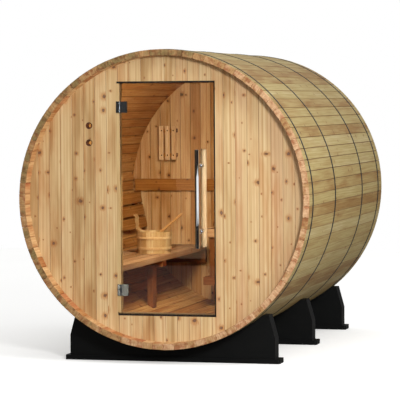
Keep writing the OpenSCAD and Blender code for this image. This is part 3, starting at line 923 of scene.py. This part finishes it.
@dataclass
class StaveShell:
    """The round shell: beaded staves laid edge to edge, each with its own tone."""

    count: int = 82
    apothem: float = 913.83 * MM
    thickness: float = 38 * MM
    half_length: float = 1220 * MM
    seam: float = 0.6 * MM
    chamfer: float = 2.6 * MM
    bead_radius: float = 8 * MM
    bead_out: float = 4 * MM
    bead_points: int = 7
    end_round: Pair = (1.0 * MM, 3.2 * MM)
    end_play: float = 2.0 * MM
    pale_side: Triple = (0.35, 0.0, -0.2)
    end_spread: float = 0.35
    # how far a face's normal points along the barrel if it is an end, and outwards if the rain reaches it
    end_cos: float = 0.5
    rain_cos: float = 0.3
    walls: Pair = (-1106 * MM, 1166 * MM)
    groups: tuple[str, ...] = ("floor", "right_lower", "right_upper", "roof", "left_upper", "left_lower")
    seed: int = 11

    def build(self) -> list[Object]:
        """Builds the shell as one piece for each of its six groups."""
        pieces = []
        share = self.count / len(self.groups)
        # in the order of the sides of a stave
        finishes = (WEATHERED_CEDAR, CABIN_CEDAR, EAVE_CEDAR, SAWN_END_CEDAR)
        for g, group in enumerate(self.groups):
            first, last = (math.floor((g + half) * share + 0.5) for half in (-0.5, 0.5))
            stock = Stock(self.seed + g)
            for k in range(first, last):
                self._stave(stock, k)
            pieces.append(stock.piece(f"{group}_stave_boards", finishes, Slot.STAVE, (f"{group}_staves",)))
        return pieces

    def _profile(self) -> list[Pair]:
        """Gives a stave's cross section.

        Returns:
            Points (across, outwards from the barrel's axis), starting at the outer face.
        """
        slope = math.tan(math.pi / self.count)
        outer, inner = self.apothem, self.apothem - self.thickness
        middle = (outer + inner) / 2
        reach = math.acos(1 - self.bead_out / self.bead_radius)

        def side(radius: float) -> float:
            """Gives half the stave's width at a radius."""
            return radius * slope - self.seam / 2

        right = [(side(outer) - self.chamfer, outer), (side(outer - self.chamfer), outer - self.chamfer)]
        foot = [(side(inner + self.chamfer), inner + self.chamfer), (side(inner) - self.chamfer, inner)]
        left, heel = ([(-across, radius) for across, radius in ends[::-1]] for ends in (right, foot))
        centre = side(middle) - self.bead_radius + self.bead_out
        bead = []
        for i in range(self.bead_points):
            turn = reach * (1 - 2 * i / (self.bead_points - 1))
            swell, rise = self.bead_radius * math.cos(turn), self.bead_radius * math.sin(turn)
            bead.append((centre + swell, middle + rise))
        cove = [(across - 2 * side(middle), radius) for across, radius in bead[::-1]]
        return right + bead + foot + heel + cove + left

    def _stave(self, stock: Stock, k: int) -> None:
        """Adds one stave.

        Args:
            stock: The mesh that gets it.
            k: The stave's number, counted from straight down towards the right.
        """
        angle = (k + 0.5) * 2 * math.pi / self.count
        outwards = Vector((math.sin(angle), 0, -math.cos(angle)))
        across = Vector((math.cos(angle), 0, math.sin(angle)))
        along = -OUT_OF_DOOR
        axis = UP * AXIS_Z
        middle = self.apothem - self.thickness / 2
        outline = self._profile()
        nick = stock.random.uniform(*self.end_round)
        half_width = middle * math.tan(math.pi / self.count)
        thin, narrow = 1 - 2 * nick / self.thickness, 1 - nick / half_width
        small = [(a * narrow, middle + (r - middle) * thin) for a, r in outline]
        low = -self.half_length + stock.random.uniform(0, self.end_play)
        high = self.half_length - stock.random.uniform(0, self.end_play)
        full = (low + nick, *self.walls, high - nick)
        rings = [
            [axis + across * a + outwards * r + along * y for a, r in shape]
            for y, shape in ((low, small), *((y, outline) for y in full), (high, small))
        ]
        axes = Axes(axis + outwards * middle, along, across, outwards)
        look = stock.look()
        faces = stock.loft(rings, axes, look, lambda face: self._side(face, outwards))
        # the ends are drawn paler to the right and low down, and darker high on the left
        spread = stock.random.uniform(-self.end_spread, self.end_spread)
        tone = 0.5 + Vector(self.pale_side).dot(outwards) + spread
        for face in faces:
            if face.material_index == StaveSide.END:
                face[stock.board] = (min(max(tone, 0.0), 1.0), look.second, 1.0, face[stock.board][3])

    def _side(self, face: BMFace, outwards: Vector) -> StaveSide:
        """Tells which side of a stave a face is on.

        Args:
            face: The face.
            outwards: The direction away from the barrel's axis.

        Returns:
            The side, which picks the material.
        """
        if abs(face.normal.y) > self.end_cos:
            return StaveSide.END
        if face.normal.dot(outwards) > self.rain_cos:
            return StaveSide.WEATHER
        indoors = self.walls[0] < face.calc_center_median().y < self.walls[1]
        return StaveSide.CABIN if indoors else StaveSide.EAVE


@dataclass
class Hoops:
    """Four steel straps round the shell, each drawn tight by a bolt through two ears."""

    nodes: tuple[str, ...] = ("front_hoop", "second_hoop", "third_hoop", "rear_hoop")
    bolt_reach: float = 926.8 * MM
    ear_angle: float = 25.0
    ear_face: float = 23 * MM
    # radius, height, number of sides and rounding of a washer, and of the bolt's head or nut on it
    washer: tuple[float, float, int, float] = (8 * MM, 1.2 * MM, 24, 0.3 * MM)
    hexagon: tuple[float, float, int, float] = (7.2 * MM, 5.3 * MM, 6, 0.6 * MM)
    edge_round: float = 0.5 * MM
    seed: int = 31

    def build(self) -> list[Object]:
        """Builds the straps with their bolt heads and nuts, one piece for each hoop."""
        pieces = []
        lean = math.radians(self.ear_angle)
        outwards = Vector((-math.cos(lean), 0, -math.sin(lean)))
        along = Vector((math.sin(lean), 0, -math.cos(lean)))
        for i, node in enumerate(self.nodes):
            stock = Stock(self.seed + i)
            stock.take(rounded_solid(node, self.edge_round, segments=1))
            low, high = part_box(node)
            centre = Vector((0, (low.y + high.y) / 2, AXIS_Z)) + outwards * self.bolt_reach
            for way in (-along, along):
                start = centre + way * self.ear_face
                for disc in (self.washer, self.hexagon):
                    stock.take(turned(start, way, *disc))
                    start = start + way * disc[1]
            pieces.append(
                stock.piece(f"{node}_strap", (STRAP_STEEL,), Slot.HOOP, (node,), shading=Shading.ROUNDED)
            )
        return pieces


@dataclass(frozen=True)
class Screws:
    """Steel screws with low round heads that hold slats to what carries them."""

    finish: Finish = BRUSHED_STAINLESS
    radius: float = 4.5 * MM
    proud: float = 1.0 * MM
    sunk: float = 0.6 * MM
    crown: float = 0.8 * MM
    # the widest gap that a screw bridges, and the least side of the place where it goes in
    reach: float = 3.0 * MM
    least_side: float = 18 * MM
    sides: int = 16

    def drive(self, stock: Stock, slats: str, carriers: str) -> None:
        """Adds a screw head wherever a slat lies on a carrier.

        Args:
            stock: The mesh that gets the heads, with steel as its second material.
            slats: The node of the slats.
            carriers: The node of what they lie on.
        """
        for low, high in part_boxes(slats):
            for under, over in part_boxes(carriers):
                start = Vector([max(a, b) for a, b in zip(low, under)])
                stop = Vector([min(a, b) for a, b in zip(high, over)])
                shared = stop - start
                k = min(range(3), key=lambda i: shared[i])
                least = min(shared[i] for i in range(3) if i != k)
                if abs(shared[k]) > self.reach or least < self.least_side:
                    continue
                side = 1 if low[k] + high[k] > under[k] + over[k] else -1
                way = Vector([float(side) if i == k else 0.0 for i in range(3)])
                spot = (start + stop) / 2
                spot[k] = (high if side > 0 else low)[k]
                height = self.proud + self.sunk
                head = turned(spot - way * self.sunk, way, self.radius, height, self.sides, self.crown)
                stock.take(head, index=1)


@dataclass(frozen=True)
class Fitting:
    """How one kind of fitting is taken from its solid: what carries it and how its edges are rounded."""

    suffix: str
    slot: Slot
    width: float
    segments: int = 2
    body: Body = Body.SAUNA
    shading: Shading = Shading.FACETED

    def make(self, node: str, seed: int, finish: Finish, carriers: str = "") -> Object:
        """Builds the piece that stands for a node.

        Args:
            node: The node's name.
            seed: The seed of its boards' looks.
            finish: Its finish.
            carriers: The node that it is screwed to, if any.

        Returns:
            The piece.
        """
        stock, finishes = Stock(seed), (finish,)
        stock.take(rounded_solid(node, self.width, self.segments))
        if carriers:
            screws = Screws()
            screws.drive(stock, node, carriers)
            finishes = (finish, screws.finish)
        name = f"{node}_{self.suffix}"
        return stock.piece(name, finishes, self.slot, (node,), self.body, self.shading)


def make_all(seed: int, *rows: tuple[Any, ...]) -> list[Object]:
    """Makes fittings in order, each with the next seed.

    Args:
        seed: The first seed.
        rows: For each fitting its kind, node, finish and, if it is screwed to one, its carrier's node.

    Returns:
        The pieces.
    """
    return [kind.make(node, seed + i, *rest) for i, (kind, node, *rest) in enumerate(rows)]


@dataclass
class Cradles:
    """Three moulded plastic cradles that carry the barrel."""

    nodes: tuple[str, ...] = ("front_cradle", "middle_cradle", "rear_cradle")
    edge_round: float = 0.9 * MM
    seed: int = 41

    def build(self) -> list[Object]:
        """Builds the cradles with rounded moulded edges."""
        moulding = Fitting("moulding", Slot.CRADLE, self.edge_round, segments=3, shading=Shading.ROUNDED)
        return make_all(self.seed, *((moulding, node, BLACK_POLYPROPYLENE) for node in self.nodes))


# left side, right side and look of one board of a wall
Row = tuple[float, float, BoardLook]
# gives the height of a wall's edge at a place across it
Edge = Callable[[float], float]


@dataclass(frozen=True)
class WallPart:
    """One part of an end wall: the sides that cut boards square, its lower and upper edge, and its faces."""

    node: str
    slot: Slot
    limits: Pair
    edges: tuple[Edge, Edge]
    # the outer and the inner face along the barrel
    faces: Pair


@dataclass
class EndWalls:
    """The front and back walls: upright tongued boards with a groove at each joint."""

    radius: float = 885.53 * MM
    pitch: float = 74 * MM
    first_seam: float = -525.1 * MM
    groove: float = 1.8 * MM
    gap: float = 0.5 * MM
    columns: int = 4
    # the outer and the inner face along the barrel
    front: Pair = (-1125 * MM, -1087 * MM)
    back: Pair = (1185 * MM, 1147 * MM)
    door_side: float = 312.5 * MM
    door_low: float = 289.97 * MM
    door_high: float = 1728.03 * MM
    hole_x: float = -488.1 * MM
    hole_z: Pair = (1353.2 * MM, 1458.2 * MM)
    bore: float = 13.5 * MM
    counterbore: float = 21 * MM
    counterbore_depth: float = 8 * MM
    hole_sides: tuple[int, int] = (32, 40)
    drill_over: float = 10 * MM
    # a strip narrower than this is left out, and faces are indoors when this far inside the wall's middle
    least_strip: float = 1 * MM
    indoors: float = 1 * MM
    # how far the front boards' tone is drawn darker towards the left, as painted shade
    left_shade: float = 0.5
    seed: int = 51

    def build(self) -> list[Object]:
        """Builds the four parts of the front wall and the back wall."""
        looks = Stock(self.seed)
        first = math.floor((-self.radius - self.first_seam) / self.pitch)
        last = math.ceil((self.radius - self.first_seam) / self.pitch)
        seams = [self.first_seam + self.pitch * k for k in range(first, last + 1)]
        rows = [(a, b, looks.look()) for a, b in zip(seams, seams[1:])]
        rear = [(a, b, looks.look()) for a, b, _ in rows]
        # the front boards darken towards the left: painted shade
        rows = [(a, b, self._shaded_to_left(look, (a + b) / 2)) for a, b, look in rows]
        looks.mesh.free()
        radius, side = self.radius, self.door_side
        whole = (self._bottom, self._top)
        pieces = [
            self._part(WallPart(f"front_wall_{name}", Slot.FRONT, limits, edges, self.front), rows)
            for name, limits, edges in (
                ("left", (-radius, -side), whole),
                ("right", (side, radius), whole),
                ("over_door", (-side, side), (lambda x: self.door_high, self._top)),
                ("under_door", (-side, side), (self._bottom, lambda x: self.door_low)),
            )
        ]
        self._bore(pieces[0], next(row for row in rows if row[0] < self.hole_x < row[1]))
        back = WallPart("back_wall", Slot.INSIDE, (-radius, radius), whole, self.back)
        return [*pieces, self._part(back, rear)]

    def _shaded_to_left(self, look: BoardLook, x: float) -> BoardLook:
        """Gives a front board's look: its tone is drawn darker towards the left, painted shade of the light
        that comes from the right.
        """
        place = 0.5 + 0.5 * x / self.radius
        return replace(look, tone=look.tone * (1 - self.left_shade) + place * self.left_shade)

    def _top(self, x: float) -> float:
        """Gives the height of the round edge over the axis at a place across the wall."""
        return AXIS_Z + math.sqrt(max(self.radius**2 - x**2, 0))

    def _bottom(self, x: float) -> float:
        """Gives the height of the round edge under the axis at a place across the wall."""
        return 2 * AXIS_Z - self._top(x)

    def _axes(self, row: Row, faces: Pair) -> Axes:
        """Gives the directions of a board from its row and its wall's faces."""
        middle = Vector(((row[0] + row[1]) / 2, (faces[0] + faces[1]) / 2, AXIS_Z))
        return Axes(middle, UP, RIGHT, OUT_OF_DOOR * math.copysign(1, faces[1] - faces[0]))

    def _part(self, part: WallPart, rows: Sequence[Row]) -> Object:
        """Builds one part of a wall from the boards of the whole wall."""
        stock = Stock(self.seed)
        low, high = part.limits[0] + self.least_strip, part.limits[1] - self.least_strip
        for row in rows:
            if row[1] > low and row[0] < high:
                self._board(stock, row, part)
        # indoor faces take the back wall's paler copy of the cabin cedar, which is painted light
        return stock.piece(f"{part.node}_boards", (FRONT_CEDAR, LIT_BACK_CEDAR), part.slot, (part.node,))

    def _board(self, stock: Stock, row: Row, part: WallPart) -> None:
        """Adds one board, grooved along the sides where it meets the next.

        Args:
            stock: The mesh that gets it.
            row: The board's sides and look.
            part: The part of the wall that it belongs to.
        """
        a, b, look = row
        left, right = max(a, part.limits[0]), min(b, part.limits[1])
        cut_left, cut_right = left > a, right < b
        x0, x1 = left + (0 if cut_left else self.gap / 2), right - (0 if cut_right else self.gap / 2)
        g0, g1 = (0 if cut_left else self.groove), (0 if cut_right else self.groove)
        outer, inner = part.faces
        way = 1 if inner > outer else -1
        flats = [x0 + g0 + (x1 - g1 - x0 - g0) * i / self.columns for i in range(self.columns + 1)]
        front = [(x, outer) for x in flats]
        behind = [(x, inner) for x in flats]
        if g0:
            front.insert(0, (x0, outer + way * g0))
            behind.insert(0, (x0, inner - way * g0))
        if g1:
            front.append((x1, outer + way * g1))
            behind.append((x1, inner - way * g1))
        rings = [[Vector((x, y, edge(x))) for x, y in front + behind[::-1]] for edge in part.edges]
        axes = self._axes(row, part.faces)
        inside = abs(axes.origin.y) - self.indoors
        stock.loft(rings, axes, look, lambda face: int(abs(face.calc_center_median().y) < inside))

    def _bore(self, piece: Object, row: Row) -> None:
        """Drills the two stepped cable holes.

        Args:
            piece: The boards to drill.
            row: The board that is drilled.
        """
        outer, inner = self.front
        over = self.drill_over
        tool = Stock(self.seed)
        # the holes' walls take dark end grain, painted shade inside them
        piece.data.materials.append(made(SHADED_BORE_CEDAR))
        bored = len(piece.data.materials) - 1
        for z in self.hole_z:
            mouth = Vector((self.hole_x, outer - over, z))
            for radius, depth, sides in (
                (self.counterbore, over + self.counterbore_depth, self.hole_sides[1]),
                (self.bore, inner - outer + 2 * over, self.hole_sides[0]),
            ):
                tool.take(turned(mouth, -OUT_OF_DOOR, radius, depth, sides, 0), index=bored)
        data = bpy.data.meshes.new("drill")
        tool.mesh.to_mesh(data)
        tool.mesh.free()
        cutter = bpy.data.objects.new("drill", data)
        bpy.context.scene.collection.objects.link(cutter)
        cut = piece.modifiers.new("cable_holes", "BOOLEAN")
        cut.operation, cut.solver, cut.use_self, cut.object = "DIFFERENCE", "EXACT", True, cutter
        bpy.context.view_layer.update()
        drilled = bpy.data.meshes.new_from_object(piece.evaluated_get(bpy.context.evaluated_depsgraph_get()))
        piece.modifiers.remove(cut)
        bpy.data.objects.remove(cutter)
        piece.data = drilled
        # the cut has new points, which take their place in the board again
        axes = self._axes(row, self.front)
        for vert, grain in zip(drilled.vertices, drilled.attributes["grain"].data):
            if row[0] < vert.co.x < row[1]:
                grain.vector = axes.grain(vert.co) + row[2].shift


@dataclass
class DoorFrame:
    """The post, the stops, the seal and the fixed hinge plates round the doorway."""

    ease: float = 1.6 * MM
    plate_round: float = 0.8 * MM
    seed: int = 73

    def build(self) -> list[Object]:
        """Builds the frame."""
        dark = Fitting("timber", Slot.INSIDE, self.ease)
        light = Fitting("timber", Slot.FRAME, self.ease)
        strip = Fitting("strip", Slot.SEAL, self.plate_round, segments=3, shading=Shading.ROUNDED)
        plate = Fitting("plate", Slot.HINGE, self.plate_round, segments=3, shading=Shading.ROUNDED)
        return make_all(
            self.seed,
            (dark, "lock_stop", CABIN_CEDAR),
            (dark, "head_stop", CABIN_CEDAR),
            (light, "hinge_post", PALE_POST),
            (light, "sill_stop", PALE_POST),
            (strip, "door_seal", BLACK_RUBBER),
            (plate, "post_hinge_leaves", BRUSHED_STAINLESS),
        )


@dataclass
class GlassDoor:
    """The frameless pane with its hinge plates, its tube handle outside and its wooden bar inside."""

    edge_round: float = 0.8 * MM
    tube_round: float = 1.5 * MM
    bar_round: float = 5.0 * MM
    seed: int = 81

    def build(self) -> list[Object]:
        """Builds the door."""
        hung = {"body": Body.DOOR, "shading": Shading.ROUNDED}
        bar = Fitting("timber", Slot.FRAME, self.bar_round, segments=4, **hung)
        plate = Fitting("plate", Slot.HINGE, self.edge_round, segments=3, **hung)
        pane = Fitting("pane", Slot.GLASS, self.edge_round, segments=3, **hung)
        tube = Fitting("tube", Slot.HANDLE, self.tube_round, segments=3, **hung)
        return make_all(
            self.seed,
            (bar, "inner_handle", PALE_BAR),
            (plate, "glass_hinge_leaves", BRUSHED_STAINLESS),
            (pane, "door_glass", BRONZE_GLASS),
            (tube, "outer_handle", POLISHED_STAINLESS),
            (tube, "handle_standoffs", POLISHED_STAINLESS),
        )


@dataclass
class Bench:
    """The slatted bench with its leg and bearers, and the backrest over it."""

    ease: float = 1.6 * MM
    slat_round: float = 4 * MM
    seed: int = 61

    def build(self) -> list[Object]:
        """Builds the bench and the backrest."""
        timber = Fitting("timber", Slot.INSIDE, self.ease)
        slats = Fitting("timber", Slot.INSIDE, self.slat_round, segments=3)
        return make_all(
            self.seed,
            (slats, "bench_slats", SCRUBBED_LIT_BENCH_CEDAR, "bench_bearers"),
            (timber, "bench_bearers", SHADED_HEART_CEDAR),
            (timber, "bench_leg", SHADED_HEART_CEDAR),
            (slats, "backrest_slats", RAIL_CEDAR),
            (timber, "backrest_brackets", RAIL_CEDAR),
        )


@dataclass
class BackFittings:
    """The rail and the lamp shade on the back wall, and the guard round the heater's place."""

    ease: float = 1.6 * MM
    seed: int = 66

    def build(self) -> list[Object]:
        """Builds the fittings."""
        timber = Fitting("timber", Slot.INSIDE, self.ease)
        return [
            timber.make("back_wall_rail", self.seed, RAIL_CEDAR),
            timber.make("lamp_shade_slats", self.seed + 1, LIT_SAPWOOD, "lamp_shade_cleats"),
            timber.make("lamp_shade_cleats", self.seed + 2, RAIL_CEDAR),
            self._rails(),
            timber.make("guard_slats", self.seed + 4, SHADED_HEART_CEDAR, "guard_rails"),
        ]

    def _rails(self) -> Object:
        """Builds the guard's rails: the top ones are pale as painted light from above, the ones at the floor
        dark as painted shade.
        """
        stock = Stock(self.seed + 3)
        stock.take(rounded_solid("guard_rails", self.ease, segments=2))
        low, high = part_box("guard_rails")
        # the lower half takes the dark wood: painted shade near the floor, painted light on the top rails
        for face in stock.mesh.faces:
            face.material_index = int(face.calc_center_median().z < (low.z + high.z) / 2)
        return stock.piece("guard_rails_timber", (LIT_SAPWOOD, SHADED_HEART_CEDAR), Slot.INSIDE, ("guard_rails",))


@dataclass
class BucketSet:
    """A coopered bucket with its two bands and a ladle standing in it."""

    staves: int = 16
    joint: float = 0.5 * MM
    ease: float = 0.9 * MM
    band_round: float = 1.4 * MM
    rim: float = 146 * MM
    ear: float = 112 * MM
    # how far the ear bends outwards at even steps from the rim to its tip
    horn: tuple[float, ...] = (0.0, 3 * MM, 4 * MM, 1 * MM, -3 * MM, -4 * MM, 2 * MM, 16 * MM)
    seed: int = 91
    axis: Vector = field(init=False)

    def build(self) -> list[Object]:
        """Builds the bucket, its bands and the ladle."""
        stock = Stock(self.seed)
        low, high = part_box("bucket_hoops")
        self.axis = Vector(((low.x + high.x) / 2, (low.y + high.y) / 2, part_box("bucket")[0].z))
        whole = rounded_solid("bucket", 0, segments=1)
        for k in range(self.staves):
            stock.take(self._sector(whole, k), self._stave_axes)
        whole.free()
        smooth = Fitting("pine", Slot.BUCKET, self.band_round, segments=3, shading=Shading.ROUNDED)
        return [
            stock.piece("bucket_staves", (BUCKET_PINE,), Slot.BUCKET, ("bucket",)),
            smooth.make("bucket_hoops", self.seed + 1, BENT_PINE),
            smooth.make("ladle", self.seed + 2, LADLE_ALDER),
        ]

    @staticmethod
    def _cut(mesh: BMesh, point: Vector, way: Vector, trim: bool) -> list[BMEdge]:
        """Cuts a mesh with a plane.

        Args:
            mesh: The mesh to cut.
            point: A point in the plane.
            way: The plane's normal.
            trim: Whether what lies beyond the plane is taken off.

        Returns:
            The edges along the cut.
        """
        geometry = mesh.verts[:] + mesh.edges[:] + mesh.faces[:]
        cut = bmesh.ops.bisect_plane(mesh, geom=geometry, plane_co=point, plane_no=way, clear_outer=trim)
        return [item for item in cut["geom_cut"] if isinstance(item, BMEdge)]

    def _sector(self, whole: BMesh, k: int) -> BMesh:
        """Cuts one stave out of the bucket's solid.

        Args:
            whole: The bucket's mesh, which stays as it is.
            k: The stave's number.

        Returns:
            The stave with eased edges.
        """
        stave = whole.copy()
        for side in (0, 1):
            turn = 2 * math.pi * (k + side + 0.5) / self.staves
            way = Vector((-math.sin(turn), math.cos(turn), 0)) * (1 if side else -1)
            rim = self._cut(stave, self.axis - way * self.joint / 2, way, True)
            bmesh.ops.holes_fill(stave, edges=rim)
        bmesh.ops.dissolve_limit(stave, angle_limit=FLAT_TURN, verts=stave.verts, edges=stave.edges)
        steps = len(self.horn) - 1
        for i in range(steps):
            self._cut(stave, self.axis + UP * (self.rim + self.ear * i / steps), UP, False)
        round_edges(stave, self.ease, segments=1)
        for vert in stave.verts:
            step = (vert.co.z - self.axis.z - self.rim) / self.ear * steps
            if step > 0:
                i = min(int(step), steps - 1)
                bend = self.horn[i] + (self.horn[i + 1] - self.horn[i]) * min(step - i, 1.0)
                vert.co.x += math.copysign(bend, vert.co.x - self.axis.x)
        return stave

    def _stave_axes(self, centre: Vector) -> Axes:
        """Gives the directions of a bucket stave from its middle."""
        outwards = Vector((centre.x - self.axis.x, centre.y - self.axis.y, 0)).normalized()
        return Axes(centre, UP, UP.cross(outwards), outwards)


# ---------------------------------------------------------------- studio


@dataclass
class AreaLamp:
    """A soft oblong lamp aimed at a point."""

    name: str
    place: Triple
    target: Triple
    size: Pair
    power: float
    colour: str = "#ffffff"
    mirrored: bool = True
    spread: float = 180.0

    def build(self) -> None:
        """Builds the lamp."""
        data = bpy.data.lights.new(self.name, "AREA")
        data.shape, (data.size, data.size_y) = "RECTANGLE", self.size
        data.energy, data.color = self.power, linear(self.colour)[:3]
        data.spread = math.radians(self.spread)
        lamp = bpy.data.objects.new(self.name, data)
        lamp.visible_camera = lamp.visible_transmission = False
        lamp.visible_glossy = self.mirrored
        lamp.location = self.place
        aim = Vector(self.target) - Vector(self.place)
        lamp.rotation_euler = aim.to_track_quat("-Z", "Y").to_euler()
        bpy.context.scene.collection.objects.link(lamp)


# the big lamps give the light from the right, the cards are what metal and glass mirror, and the last three
# light the cabin and the edge of the hinge post
LAMPS = (
    AreaLamp("key_lamp", (3.0, -6.2, 2.4), (0.2, -1.1, 1.1), (0.8, 0.8), 245.0),
    AreaLamp("side_lamp", (5.8, -4.0, 3.5), (0.4, -0.6, 1.1), (2.2, 2.2), 225.0),
    AreaLamp("front_card", (4.0, -9.5, 0.63), (4.0, 0.0, 0.63), (10.0, 0.5), 20.0),
    AreaLamp("right_card", (9.2, -4.0, 0.6), (0.0, -4.0, 0.6), (11.0, 0.5), 22.0),
    AreaLamp("pane_card", (-1.95, -9.0, 0.92), (-1.95, 0.0, 0.92), (0.3, 1.7), 1.8, "#ffd6a8"),
    AreaLamp("ground_card", (-1.73, -5.86, 0.03), (-1.7, -5.76, 3.0), (0.1, 0.7), 15.0, "#ffeccc"),
    AreaLamp(
        "cabin_lamp", (0.2, -0.85, 1.6), (-0.45, 0.7, 0.85), (0.4, 0.4), 15.0, "#f8fff2", False, 110.0
    ),
    AreaLamp(
        "doorway_lamp", (-0.06, -0.92, 1.25), (-0.5, -0.3, 0.5), (0.4, 0.4), 6.0, "#f8fff2", False, 130.0
    ),
    AreaLamp(
        "jamb_lamp", (0.297, -1.108, 1.01), (0.2175, -1.045, 1.01), (0.012, 0.6), 0.5, "#f0f6ff", False
    ),
)


@dataclass
class Studio:
    """The pale floor, the soft lamps and the camera at the photograph's place."""

    eye: Triple = (3.695222, -14.310221, 1.608334)
    azimuth: float = 14.785
    pitch: float = 2.539
    roll: float = -0.413
    lens_px: float = 2244.394
    image_px: float = 400.0
    sensor: float = 36.0
    far: float = 200.0
    floor_half: float = 9.0
    backdrop: str = "#ffffff"
    # the room that reflections and soft light see: dark ground, dim walls, bright ceiling
    room: tuple[tuple[float, str], ...] = (
        (0.0, "#201f1e"), (0.49, "#262524"), (0.56, "#8f8f8f"), (1.0, "#ffffff")
    )
    lamps: tuple[AreaLamp, ...] = LAMPS

    def build(self) -> None:
        """Builds the floor, the lamps, the room and the camera."""
        half = self.floor_half
        data = bpy.data.meshes.new("studio_floor")
        square = [(-half, -half, 0), (half, -half, 0), (half, half, 0), (-half, half, 0)]
        data.from_pydata(square, [], [(0, 1, 2, 3)])
        data.materials.append(made(STUDIO_PAPER))
        floor = bpy.data.objects.new("studio_floor", data)
        bpy.context.scene.collection.objects.link(floor)
        for lamp in self.lamps:
            lamp.build()
        self._room()
        # plain sRGB, so that the hex colours come out as they are written
        bpy.context.scene.view_settings.view_transform = "Standard"
        self._camera()

    def _room(self) -> None:
        """Sets the white backdrop and the room that lights the sauna."""
        world = bpy.data.worlds.new("studio_room")
        world.use_nodes = True
        tree = world.node_tree
        tree.nodes.clear()
        way = add_node(tree, "ShaderNodeTexCoord").outputs["Generated"]
        height = add_node(tree, "ShaderNodeSeparateXYZ", inputs={0: way}).outputs[2]
        level = span(tree, height, (-1.0, 1.0), (0.0, 1.0))
        room, white = (
            add_node(tree, "ShaderNodeBackground", inputs={"Color": colour}).outputs[0]
            for colour in (ramp(tree, level, self.room), linear(self.backdrop))
        )
        ray = add_node(tree, "ShaderNodeLightPath").outputs["Is Camera Ray"]
        mix = add_node(tree, "ShaderNodeMixShader", inputs={0: ray, 1: room, 2: white}).outputs[0]
        add_node(tree, "ShaderNodeOutputWorld", inputs={0: mix})
        bpy.context.scene.world = world

    def _camera(self) -> None:
        """Places the camera."""
        az, tip, roll = (math.radians(angle) for angle in (self.azimuth, self.pitch, self.roll))
        ahead = Vector((-math.sin(az) * math.cos(tip), math.cos(az) * math.cos(tip), -math.sin(tip)))
        right = ahead.cross(UP).normalized()
        over = right.cross(ahead)
        level = right * math.cos(roll) + over * math.sin(roll)
        top = over * math.cos(roll) - right * math.sin(roll)
        data = bpy.data.cameras.new("photo_camera")
        data.sensor_width = self.sensor
        data.lens = self.lens_px / self.image_px * self.sensor
        data.clip_end = self.far
        camera = bpy.data.objects.new("photo_camera", data)
        turn = Matrix((level, top, -ahead)).transposed()
        camera.matrix_world = Matrix.Translation(self.eye) @ turn.to_4x4()
        bpy.context.scene.collection.objects.link(camera)
        bpy.context.scene.camera = camera


def main() -> None:
    """Builds the studio and every sub-assembly, and reports each piece."""
    logging.basicConfig(level=logging.INFO, format="%(message)s")
    Studio().build()
    for assembly in (
        StaveShell(),
        Hoops(),
        Cradles(),
        EndWalls(),
        DoorFrame(),
        GlassDoor(),
        Bench(),
        BackFittings(),
        BucketSet(),
    ):
        for piece in assembly.build():
            log.info("%s: %d faces", piece.name, len(piece.data.polygons))


if __name__ == "__main__":
    main()
